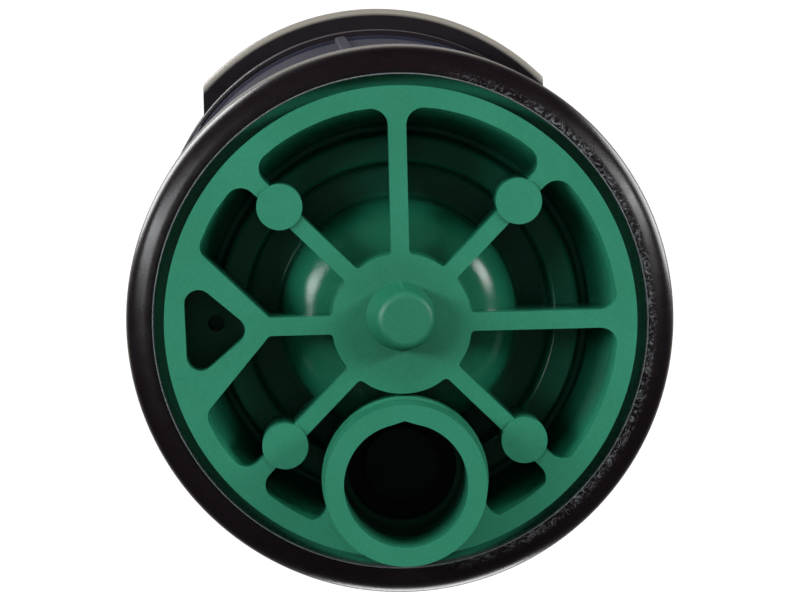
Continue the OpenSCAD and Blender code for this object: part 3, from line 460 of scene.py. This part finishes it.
cells = [open_cell(225, RIB_HALF, 270, SPOKE_HALF), open_cell(270, SPOKE_HALF, 315, RIB_HALF),
         open_cell(315, RIB_HALF, 360, SPOKE_HALF), open_cell(0, SPOKE_HALF, 45, RIB_HALF)]
cells += [beside_fork(FORK_END, 1), beside_fork(FORK_LOW, -1)[::-1]]
# One cell that lies on both sides of the spigot and runs through the slit before the hub
WEB = 1.9
away = RIM_IN - WEB
root_y = SPIGOT_Y - WHEEL_OFF.y
web_y = (away ** 2 - (ROOT_R + WEB) ** 2 + root_y ** 2) / (2 * root_y)
web = (math.sqrt(away ** 2 - web_y ** 2), web_y)
rim_at = swing(web)
root_at = math.degrees(math.atan2(web_y - root_y, web[0]))
right = ([on_circle(RIM_IN, 45, RIB_HALF, 2.0)] + arc(RIM_IN, 55, rim_at, 3)
         + arc(WEB, rim_at, root_at + 180, 15, web)[1:-1]
         + arc(ROOT_R, root_at, -90, 6, (0, root_y))[:-1])
left = [(-x, y, fillet) for x, y, fillet in reversed(right)]
cells.append(rounded(
    right + [(0, root_y - ROOT_R, 0)] + left
    + [on_circle(HUB_R, 135, -RIB_HALF, HUB_FILLET)] + arc(HUB_R, 118, 62, 4)
    + [on_circle(HUB_R, 45, RIB_HALF, HUB_FILLET)], 7))

base = turned("base_moulding", rounded([
    (0, FACE_Z, 0), (PLUG_R, FACE_Z, 0), (PLUG_R, FLANGE_LOW, 0), (FLANGE_R, FLANGE_LOW, 0),
    (FLANGE_R, FLANGE_HIGH, 0), (PLUG_R, FLANGE_HIGH, 0), (PLUG_R, BASE_TOP, 0),
    (0, BASE_TOP, 0)]))
tools = [pulled(f"cell_{i}", [Vector(point) + WHEEL_OFF for point in outline], FACE_Z - 3,
                TRENCH_Z + 1) for i, outline in enumerate(cells)]
clear_choice()
for tool in tools:
    tool.select_set(True)
bpy.context.view_layer.objects.active = tools[0]
bpy.ops.object.join()
hollows = bpy.context.object
# The floor of the cells: dome, trench, raised ring, and the leaning wall of the rim
shoulder = [(DOME_R - DOME_ROUND + DOME_ROUND * math.sin(math.radians(k * 7.5)),
             DOME_Z + DOME_ROUND - DOME_ROUND * math.cos(math.radians(k * 7.5)))
            for k in range(12, -1, -1)]
floor_line = rounded([
    (0, FACE_Z - 2, 0), (RIM_IN + 0.33, FACE_Z - 2, 0), (25.65, TRENCH_Z, 0.35),
    (24.8, TRENCH_Z, 0.3), (24.3, LEDGE_Z, 0.7), (20.8, LEDGE_Z, 0.6), (20.3, TRENCH_Z, 0.6),
    (DOME_R, TRENCH_Z, 0.6), (DOME_R, TRENCH_Z - 2, 0)], 5)
air = turned("air", floor_line + shoulder + [(0, DOME_Z - 0.25)])
combine(hollows, air, "INTERSECT")
combine(base, hollows, "DIFFERENCE")

# The hub's side leans out a little towards its foot
clear_choice()
bpy.ops.mesh.primitive_cone_add(vertices=120, radius1=(HUB_R - 0.05) * MM,
                                radius2=(HUB_R + 0.5) * MM, depth=9 * MM,
                                location=(WHEEL_OFF.x * MM, WHEEL_OFF.y * MM, 15 * MM))
combine(base, bpy.context.object, "UNION")
# The four bosses stand a little proud of the ribs
for degrees in RIB_ANGLES:
    combine(base, round_bar("boss", BOSS_R, FACE_Z - 0.4, BASE_TOP - 3,
                            unit(degrees) * BOSS_AT * PLUG_R + WHEEL_OFF, 64), "UNION")

# The leaning post on the hub
clear_choice()
bpy.ops.mesh.primitive_cone_add(vertices=72, radius1=3.75 * MM, radius2=4.7 * MM,
                                depth=6.5 * MM,
                                location=(POST_AT[0] * MM, POST_AT[1] * MM, 7.75 * MM))
post = bpy.context.object
bpy.ops.object.transform_apply(location=True)
bpy.ops.object.mode_set(mode="EDIT")
bpy.ops.mesh.select_all(action="DESELECT")
work = bmesh.from_edit_mesh(post.data)
for vert in work.verts:
    vert.select_set(vert.co.z < 5 * MM)
work.select_flush(True)
bmesh.update_edit_mesh(post.data)
bpy.ops.transform.translate(value=(POST_LEAN[0] * MM, POST_LEAN[1] * MM, 0))
bpy.ops.object.mode_set(mode="OBJECT")
soften(post, 0.85, 4, lambda a, b: a.z < 5 and b.z < 5)
combine(base, post, "UNION")

# The spigot, on a root that is a little thicker
spigot_at = (0, SPIGOT_Y)
combine(base, round_bar("spigot_root", ROOT_R, FACE_Z - 0.9, FACE_Z + 0.7, spigot_at,
                        TURN_STEPS), "UNION")
combine(base, round_bar("spigot", SPIGOT_R, 0, FACE_Z + 0.5, spigot_at, TURN_STEPS), "UNION")
combine(base, round_bar("bore", BORE_R, -2, SEAT_Z, spigot_at, 128), "DIFFERENCE")
combine(base, round_bar("seat", SEAT_R, SEAT_Z - 2, BASE_TOP + 2, spigot_at, 96), "DIFFERENCE")
# A wide shallow notch in the side of the bore
combine(base, pulled("notch", [
    (-NOTCH_HALF, SPIGOT_Y - 7.85), (0, SPIGOT_Y - 8.5), (NOTCH_HALF, SPIGOT_Y - 7.85)],
    -1, FACE_Z), "DIFFERENCE")
# The groove for the base seal
combine(base, turned("seal_groove", [(SEAL_IN, SEAL_LOW), (33, SEAL_LOW), (33, SEAL_HIGH),
                                     (SEAL_IN, SEAL_HIGH)]), "DIFFERENCE")

# The three-cornered pocket with a small drain hole in its floor
pocket = rounded([(*corner, POCKET_FILLET) for corner in POCKET], 8)
combine(base, pulled("pocket", pocket, FACE_Z - 2, FACE_Z + 12), "DIFFERENCE")
combine(base, round_bar("drain", DRAIN_R, FACE_Z + 11, FACE_Z + 17, DRAIN_AT, 40), "DIFFERENCE")

tidy_mesh(base)
soften(base, 0.32, 3, lambda a, b: max(a.z, b.z) < FACE_Z + 0.01)
tidy_mesh(base)


def masked(nodes, links, value, start, end):
    """Goes from 0 to 1 as a distance, in millimetres, goes from one value to another."""
    node = nodes.new("ShaderNodeMapRange")
    node.inputs["From Min"].default_value = start * MM
    node.inputs["From Max"].default_value = end * MM
    links.new(value, node.inputs["Value"])
    return node.outputs["Result"]


def sums(nodes, links, how, first, second):
    """One step of arithmetic on a value and a value or a number, held between 0 and 1."""
    node = nodes.new("ShaderNodeMath")
    node.operation = how
    node.use_clamp = True
    links.new(first, node.inputs[0])
    if isinstance(second, (int, float)):
        node.inputs[1].default_value = second
    else:
        links.new(second, node.inputs[1])
    return node.outputs["Value"]


def product(nodes, links, first, *others):
    """Several masks or numbers multiplied together."""
    for other in others:
        first = sums(nodes, links, "MULTIPLY", first, other)
    return first


def placed(nodes, links):
    """Height along the can, distance from its axis, and distance to one side."""
    place = nodes.new("ShaderNodeTexCoord").outputs["Object"]
    split = nodes.new("ShaderNodeSeparateXYZ")
    links.new(place, split.inputs["Vector"])
    flat = nodes.new("ShaderNodeVectorMath")
    flat.operation = "MULTIPLY"
    flat.inputs[1].default_value = (1, 1, 0)
    links.new(place, flat.inputs[0])
    radius = nodes.new("ShaderNodeVectorMath")
    radius.operation = "LENGTH"
    links.new(flat.outputs["Vector"], radius.inputs[0])
    return split.outputs["Z"], radius.outputs["Value"], split.outputs["X"]


def tinted(stock, factor, colour, how="MIX"):
    """Lays a colour over the stock's own where a factor says."""
    nodes, links = stock.node_tree.nodes, stock.node_tree.links
    shader = nodes["Principled BSDF"]
    own = shader.inputs["Base Color"].links[0].from_socket
    over = nodes.new("ShaderNodeMix")
    over.data_type = "RGBA"
    over.blend_type = how
    over.inputs["B"].default_value = (*colour, 1)
    links.new(factor, over.inputs["Factor"])
    links.new(own, over.inputs["A"])
    links.new(over.outputs["Result"], shader.inputs["Base Color"])


def green_with_painted_shade(stock):
    """Leaves the faces grained and the dome polished, and paints shade into the deep rings and
    onto the hub.
    """
    nodes, links = stock.node_tree.nodes, stock.node_tree.links
    shader = nodes["Principled BSDF"]
    height, radius, _ = placed(nodes, links)
    grained = shader.inputs["Roughness"].links[0].from_socket
    polish = nodes.new("ShaderNodeMix")
    polish.inputs["B"].default_value = 0.2
    links.new(masked(nodes, links, height, FACE_Z + 1, FACE_Z + 4), polish.inputs["Factor"])
    links.new(grained, polish.inputs["A"])
    links.new(polish.outputs["Result"], shader.inputs["Roughness"])
    # Painted shade: the deep rings and walls outside the dome are darkened where the recess
    # lies in shade.
    deep = masked(nodes, links, height, FACE_Z + 2, FACE_Z + 11)
    outside = masked(nodes, links, radius, DOME_R, DOME_R + 1)
    tinted(stock, product(nodes, links, deep, outside, 0.62), (0.3, 0.36, 0.36), "MULTIPLY")
    # Painted shadow: the hub's face is darkened where the post and the spigot shade it.
    shallow = masked(nodes, links, height, FACE_Z + 0.6, FACE_Z - 0.2)
    hub = masked(nodes, links, radius, HUB_R + 1, HUB_R - 2.5)
    tinted(stock, product(nodes, links, shallow, hub, 0.6), (0.62, 0.72, 0.68), "MULTIPLY")
    return stock


base_green = moulded("base_green", (0.0155, 0.195, 0.106), (0.027, 0.262, 0.152), 0.45, 0.25,
                     0.04, 14)
dress(base, green_with_painted_shade(base_green))
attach(base, "housing")
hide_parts("inlet_base")

# ------------------------------------------------------------------ collar
# The collar is a turned-looking black moulding with a rounded edge and a thin flash line
# round its inner lip. It screws over the can's end and clamps the base in place.
COLLAR_R = 36.5
COLLAR_LOW = 12.0
COLLAR_TOP = 31.8
LIP_R = 32.75
collar = turned("collar_ring", rounded([
    (LIP_R, 12.25, 0), (32.85, 12.05, 0), (33.0, 12.18, 0), (33.25, COLLAR_LOW, 0.1),
    (COLLAR_R, COLLAR_LOW, 3.3), (COLLAR_R, COLLAR_TOP, 0.6), (34.1, COLLAR_TOP, 0.3),
    (34.1, FLANGE_LOW, 0), (LIP_R, FLANGE_LOW, 0.2)], 8))
tidy_mesh(collar, 50)


def scuffed_black():
    """Black satin moulding with pale rubbed specks along the inner lip, on its right side."""
    stock = moulded("collar_black", (0.0065, 0.0035, 0.0045), (0.0105, 0.0065, 0.0085), 0.27,
                    0.35, 0.01, 7, shine=0.36)
    nodes, links = stock.node_tree.nodes, stock.node_tree.links
    _, radius, across = placed(nodes, links)
    lip = masked(nodes, links, radius, 34.3, 33.0)
    side = masked(nodes, links, across, 4, 22)
    scratches = nodes.new("ShaderNodeTexNoise")
    scratches.inputs["Scale"].default_value = 1100
    scratches.inputs["Detail"].default_value = 6
    scratches.inputs["Roughness"].default_value = 0.7
    scratches.inputs["Distortion"].default_value = 2.5
    links.new(nodes.new("ShaderNodeTexCoord").outputs["Object"], scratches.inputs["Vector"])
    sharp = nodes.new("ShaderNodeMapRange")
    sharp.inputs["From Min"].default_value = 0.5
    sharp.inputs["From Max"].default_value = 0.6
    links.new(scratches.outputs["Fac"], sharp.inputs["Value"])
    scuffs = product(nodes, links, lip, side, sharp.outputs["Result"])
    flash = product(nodes, links, masked(nodes, links, radius, 33.02, 32.96),
                    product(nodes, links, scratches.outputs["Fac"], 1.3))
    tinted(stock, sums(nodes, links, "MAXIMUM", scuffs, flash), (0.27, 0.275, 0.29))
    return stock


dress(collar, scuffed_black())
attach(collar, "housing")
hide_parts("base_collar")

# --------------------------------------------------------------------- can
# The can is a long matte blue-grey moulding with ribs down its sides, turned down at both
# ends for the threads. Four ribs down its bore guide the riser.
CAN_TOP = 202
CAN_IN = 31.5
CAN_R = 35
THREAD_R = 34
BAND_R = 35.5
RIB_OUT = 35.9
can = turned("can_body", rounded([
    (CAN_IN, FLANGE_HIGH, 0), (THREAD_R, FLANGE_HIGH, 0.3), (THREAD_R, 32.3, 0),
    (CAN_R, 32.3, 0.3), (CAN_R, 38, 0), (BAND_R, 38.6, 0.2), (BAND_R, 40.4, 0.2),
    (CAN_R, 41, 0), (CAN_R, 181, 0), (BAND_R, 181.6, 0.2), (BAND_R, 183.4, 0.2),
    (CAN_R, 184, 0), (CAN_R, 188.7, 0.3), (THREAD_R, 188.7, 0), (THREAD_R, CAN_TOP, 0.3),
    (CAN_IN, CAN_TOP, 0)], 3))
for i in range(8):
    out = unit(261 + 45 * i)
    side = Vector((-out.y, out.x)) * 1.1
    rib = pulled("can_rib", [tuple(p) for p in (
        out * 34.2 - side, out * RIB_OUT - side * 0.75, out * RIB_OUT + side * 0.75,
        out * 34.2 + side)], 41.2, 180.8)
    soften(rib, 0.25, 3, lambda a, b: min(a.to_2d().length, b.to_2d().length) > BAND_R)
    combine(can, rib, "UNION")
for i in range(4):
    out = unit(45 + 90 * i)
    side = Vector((-out.y, out.x)) * 1.5
    rib = pulled("guide_rib", [tuple(p) for p in (
        out * 30.4 - side, out * 32 - side, out * 32 + side, out * 30.4 + side)], 36, 198)
    combine(can, rib, "UNION")
tidy_mesh(can)
can_grey = moulded("can_grey", (0.017, 0.016, 0.033), (0.025, 0.024, 0.045), 0.7, 0.55,
                   0.05, 12, shine=0.1)
dress(can, can_grey)
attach(can, "housing")
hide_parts("body_can")

# --------------------------------------------------------------------- cap
# The cap is a dark satin moulding with a round skirt that screws on the can, and a wider top
# cut to two ears, by which it is gripped and turned.
TOTAL_H = 212
EAR_R = 39.6
EAR_HALF = 28.4
EAR_LOW = 205
ears = turned("ears", rounded([
    (0, EAR_LOW, 0), (EAR_R, EAR_LOW, 1.3), (EAR_R, TOTAL_H, 1.6), (0, TOTAL_H, 0)], 6))
combine(ears, pulled("flats", [
    (-EAR_HALF, -45), (EAR_HALF, -45), (EAR_HALF, 45), (-EAR_HALF, 45)],
    EAR_LOW - 2, TOTAL_H + 2), "INTERSECT")
soften(ears, 1.0, 4, lambda a, b: abs(abs(a.x) - EAR_HALF) < 0.01 and
       abs(abs(b.x) - EAR_HALF) < 0.01)
SKIRT_R = 36.3
SKIRT_LOW = 189
cap = turned("cap_body", rounded([
    (0, SKIRT_LOW, 0), (SKIRT_R, SKIRT_LOW, 0.5), (SKIRT_R, TOTAL_H, 0.8), (0, TOTAL_H, 0)], 5))
combine(cap, ears, "UNION")
# Fine grip flutes between the ears
for centre in (0, 180):
    for k in range(-5, 6):
        flute = round_bar("flute", 1.1, EAR_LOW - 11, EAR_LOW - 1,
                          unit(centre + k * 7) * 36.95, 20)
        combine(cap, flute, "DIFFERENCE")
inside = turned("cap_inside", rounded([
    (0, 187, 0), (34.1, 187, 0), (34.1, 203.5, 0), (22.3, 203.5, 0), (22.3, 209, 0.3),
    (23.9, 209, 0), (23.9, 212, 0.4), (24.6, 212.0, 0), (24.6, 214, 0), (0, 214, 0)], 3))
combine(cap, inside, "DIFFERENCE")
# A shallow ring groove round the top
groove = turned("cap_groove", [(29.2, 211.5), (30.4, 211.5), (30.4, 214), (29.2, 214)])
combine(cap, groove, "DIFFERENCE")
tidy_mesh(cap)
cap_dark = moulded("cap_dark", (0.0075, 0.0045, 0.0075), (0.0125, 0.0085, 0.0125), 0.36, 0.3,
                   0.015, 8, shine=0.4)
nodes, links = cap_dark.node_tree.nodes, cap_dark.node_tree.links
height, radius, _ = placed(nodes, links)
# Painted highlight: a pale band along the lower rounded edge of the ears, where light from
# above catches it.
painted_edge_highlight = product(nodes, links, masked(nodes, links, radius, EAR_R - 1.1, EAR_R - 0.6),
                 masked(nodes, links, height, EAR_LOW + 2.0, EAR_LOW + 0.8), 0.9)
tinted(cap_dark, painted_edge_highlight, (0.36, 0.33, 0.28))
dress(cap, cap_dark)
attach(cap, "housing")
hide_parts("body_cap")

# --------------------------------------------------------------- top cover
# A soft rubber lid that plugs into the turret. It has a hole over the radius screw and two
# key slots, by which the riser is lifted by hand.
cover = turned("top_cover_rubber", rounded([
    (0, 205, 0), (19, 205, 0.4), (19, 209.1, 0), (23.6, 209.1, 0.4), (23.6, 212.5, 1.2),
    (20.6, 212.6, 0.3), (20.2, 212.2, 0.2), (19.2, 212.2, 0.2), (18.8, 212.6, 0.3),
    (9.6, 212.6, 0.3), (9.2, 212.2, 0.2), (8.2, 212.2, 0.2), (7.8, 212.6, 0.3),
    (0, 212.6, 0)], 4))
SCREW_AT = 17.5
combine(cover, round_bar("screw_hole", 1.2, 204, 214, (SCREW_AT, 0), 40), "DIFFERENCE")
for degrees in (120, 240):
    combine(cover, round_bar("key_hole", 1.6, 207, 214, unit(degrees) * 12, 40), "DIFFERENCE")
tidy_mesh(cover)
cover_rubber = moulded("cover_rubber", (0.010, 0.010, 0.011), (0.016, 0.016, 0.017), 0.7,
                       0.4, 0.05, 6)
dress(cover, cover_rubber)
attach(cover, "turret")
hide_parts("top_cover")

# ------------------------------------------------------------------- riser
# The riser is a smooth black moulded tube with a flange at its foot. A split ring of acetal
# round the flange slides on the can's guide ribs, and a washer lets the spring turn.
RISER_IN = 20
RISER_R = 22
FLANGE_OUT = 29.9
riser_satin = moulded("riser_satin", (0.014, 0.014, 0.016), (0.021, 0.021, 0.024), 0.3, 0.4,
                      0.008, 10)
riser = turned("riser_shell", rounded([
    (RISER_IN, 57, 0.3), (FLANGE_OUT, 57, 0.5), (FLANGE_OUT, 58, 0), (28.9, 58, 0),
    (28.9, 61, 0), (FLANGE_OUT, 61, 0), (FLANGE_OUT, 62, 0.3), (RISER_R, 62, 0.4),
    (RISER_R, 165.2, 0.25), (RISER_IN, 165.2, 0.2), (RISER_IN, 106.5, 0),
    (18.6, 106.5, 0.2), (18.6, 103.5, 0.2), (RISER_IN, 103.5, 0)], 4))
dress(riser, riser_satin)
tidy_mesh(riser)
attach(riser, "riser")
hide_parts("riser_tube")

# The bearing nut is moulded of the same black plastic and screws into the top of the tube.
# Its lip shows between riser and turret, and a groove in its bore holds the neck seal.
NUT_IN = 18.08
NUT_PLUG_R = 19.95
NUT_LIP_R = 21.95
nut_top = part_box("bearing_nut")[1].z / MM
nut = turned("bearing_nut_ring", rounded([
    (NUT_IN, nut_top - 9.5, 0.2), (NUT_PLUG_R, nut_top - 9.5, 0.3),
    (NUT_PLUG_R, nut_top - 1.5, 0), (NUT_LIP_R, nut_top - 1.5, 0.2), (NUT_LIP_R, nut_top, 0.4),
    (NUT_IN, nut_top, 0.3), (NUT_IN, nut_top - 4.9, 0), (19.2, nut_top - 4.9, 0),
    (19.2, nut_top - 6.5, 0), (NUT_IN, nut_top - 6.5, 0)], 4))
for i in range(24):
    combine(nut, round_bar("nut_flute", 0.7, nut_top - 1.6, nut_top + 1, unit(15 * i) * 22.3,
                           16), "DIFFERENCE")
tidy_mesh(nut)
dress(nut, riser_satin)
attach(nut, "riser")
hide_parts("bearing_nut")

# ------------------------------------------------------------------ turret
# The turret is a solid-looking black barrel that carries the water up from the drive sleeve
# to the nozzle in its side. Shallow flutes round its lower half let a hand turn it.
TURRET_LOW = 167
TURRET_TOP = 209
TURRET_R = 21.9
turret = turned("turret_barrel", rounded([
    (18, TURRET_LOW, 0.3), (TURRET_R, TURRET_LOW, 0.6), (TURRET_R, 172, 0), (21.6, 172.3, 0),
    (21.6, 180.7, 0), (TURRET_R, 181, 0), (TURRET_R, TURRET_TOP, 0.6), (19, TURRET_TOP, 0.3),
    (19, 205, 0), (0, 205, 0), (0, 186, 0), (15.8, 186, 1.5), (15.8, 173, 0), (18, 173, 0)], 4))
NOZZLE_X = 6
NOZZLE_Z = 184
NOZZLE_UP = math.radians(25)


def along_nozzle(name, profile):
    """A round tool turned from radius and distance along the nozzle's own axis."""
    tool = turned(name, profile, 64)
    tool.data.transform(Matrix.Translation((NOZZLE_X * MM, 0, NOZZLE_Z * MM))
                        @ Matrix.Rotation(math.pi / 2 - NOZZLE_UP, 4, "Y"))
    return tool


SCREW_WAY_R = 1.55
combine(turret, along_nozzle("nozzle_seat", [(0, 0), (5, 0), (5, 34), (0, 34)]), "DIFFERENCE")
combine(turret, round_bar("screw_way", SCREW_WAY_R, NOZZLE_Z, 216, (SCREW_AT, 0), 32),
        "DIFFERENCE")
for i in range(36):
    combine(turret, round_bar("turret_flute", 0.6, 173, 180, unit(10 * i + 5) * 21.85, 12),
            "DIFFERENCE")
tidy_mesh(turret)
soften(turret, 0.2, 2, lambda a, b: a.z > 184 and b.z > 184 and a.z < 199 and b.z < 199
       and a.x > 20.5 and b.x > 20.5)
tidy_mesh(turret)
turret_satin = moulded("turret_satin", (0.016, 0.016, 0.019), (0.024, 0.024, 0.028), 0.4, 0.3,
                       0.02, 8)
dress(turret, turret_satin)
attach(turret, "turret")
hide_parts("turret_housing")

# The blue nozzle is an acetal plug with a tapered throat. It pushes into the turret and is
# held there by the tip of the radius screw.
nozzle = along_nozzle("nozzle_plug", [(0, 4), (4.95, 4), (4.95, 28), (0, 28)])
combine(nozzle, round_bar("nozzle_round", 21.7, 160, 215, sides=TURN_STEPS), "INTERSECT")
combine(nozzle, along_nozzle("throat", [(0, 3), (4.2, 3), (4.2, 4.5), (2.4, 12), (2.4, 15.3),
                                        (2.9, 40), (0, 40)]), "DIFFERENCE")
screw_z = NOZZLE_Z + (SCREW_AT - NOZZLE_X) * math.tan(NOZZLE_UP)
combine(nozzle, round_bar("nozzle_screw_way", SCREW_WAY_R, screw_z, screw_z + 12,
                          (SCREW_AT, 0), 32), "DIFFERENCE")
tidy_mesh(nozzle)
nozzle_blue = moulded("nozzle_blue", (0.030, 0.125, 0.38), (0.042, 0.16, 0.46), 0.36, 0.3,
                      0.01, 6)
dress(nozzle, nozzle_blue)
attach(nozzle, "turret")
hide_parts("nozzle")

# ------------------------------------------------------------------ spring
# The retraction spring is bright drawn wire with closed ends. It sits between the seal
# retainer above and the washer on the riser's flange. In the sprinkler it closes up as the
# riser lifts; here it is wound once, at one length, and rides with the housing.
SPRING_LOW = 64
SPRING_HIGH = 198
WIRE = 2.2
TURNS = 13
WIRE_MEAN = (22 + 30.1) / 2


def coil_path(turns, wire, length, steps=36):
    """Heights of the wire's centre line: flat closed ends and even open turns between."""
    flat, ramp, rise = 0.8, 0.35, wire * 1.08
    low, high = wire / 2 + rise, length - wire / 2 - rise
    first, last = flat + ramp, turns - flat - ramp
    for i in range(turns * steps + 1):
        u = i / steps
        if u < flat:
            z = wire / 2
        elif u < first:
            z = wire / 2 + rise * (u - flat) / ramp
        elif u < last:
            z = low + (high - low) * (u - first) / (last - first)
        elif u < turns - flat:
            z = high + rise * (u - last) / ramp
        else:
            z = length - wire / 2
        yield u * 2 * math.pi, z


def wound(name, mean_r, wire, turns, low, high):
    """Winds a compression spring as a curve with a round section, and makes it a mesh."""
    curve = bpy.data.curves.new(name, "CURVE")
    curve.dimensions = "3D"
    path = list(coil_path(turns, wire, high - low))
    line = curve.splines.new("POLY")
    line.points.add(len(path) - 1)
    for point, (angle, z) in zip(line.points, path):
        point.co = (mean_r * math.cos(angle) * MM, mean_r * math.sin(angle) * MM,
                    (low + z) * MM, 1)
    curve.bevel_depth = wire / 2 * MM
    curve.bevel_resolution = 3
    curve.use_fill_caps = True
    spring = bpy.data.objects.new(name, curve)
    bpy.context.scene.collection.objects.link(spring)
    take(spring)
    bpy.ops.object.convert(target="MESH")
    tidy_mesh(spring, 60)
    return spring


bright_wire = moulded("bright_wire", (0.42, 0.43, 0.45), (0.56, 0.57, 0.59), 0.26, 0.5, 0.004,
                      5, metallic=1.0)
spring = wound("retraction_spring_wire", WIRE_MEAN, WIRE, TURNS, SPRING_LOW, SPRING_HIGH)
dress(spring, bright_wire)
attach(spring, "housing")
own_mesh(spring)
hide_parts("retraction_spring")

# -------------------------------------------------------------- inner stock
# The sealed working pieces keep the shapes they were made to. Each gets the finish of its own
# stock: rubber seals, natural acetal, glass-filled case parts, ground pins, turned brass.
inner_finishes = {
    "seal_rubber": moulded("seal_rubber", (0.011, 0.011, 0.012), (0.018, 0.018, 0.019), 0.5,
                           0.5, 0.01, 4),
    "natural_plastic": moulded("natural_acetal", (0.66, 0.62, 0.50), (0.76, 0.73, 0.62), 0.38,
                               0.4, 0.008, 8),
    "case_plastic": moulded("case_nylon", (0.55, 0.51, 0.40), (0.64, 0.60, 0.50), 0.5, 0.3,
                            0.02, 6),
    "spring_steel": bright_wire,
    "steel": moulded("ground_steel", (0.48, 0.49, 0.50), (0.60, 0.61, 0.62), 0.24, 0.3, 0.003,
                     3, metallic=1.0),
    "gear_plastic": moulded("gear_acetal", (0.66, 0.47, 0.15), (0.78, 0.60, 0.24), 0.34, 0.3,
                            0.006, 4),
    "brass": moulded("turned_brass", (0.52, 0.36, 0.12), (0.66, 0.47, 0.18), 0.3, 0.2, 0.004,
                     3, metallic=1.0),
    "riser_black": riser_satin,
}
dark_valve = moulded("valve_black", (0.012, 0.012, 0.013), (0.02, 0.02, 0.021), 0.45, 0.3,
                     0.01, 5)
for row in frame["record"]["subparts"]:
    part = frame["nodes"][row["node"]]
    if not part.hide_render:
        stock = inner_finishes[row["material_slot"]]
        if row["node"] in ("valve_poppet", "valve_cage"):
            stock = dark_valve
        dress(part, stock)
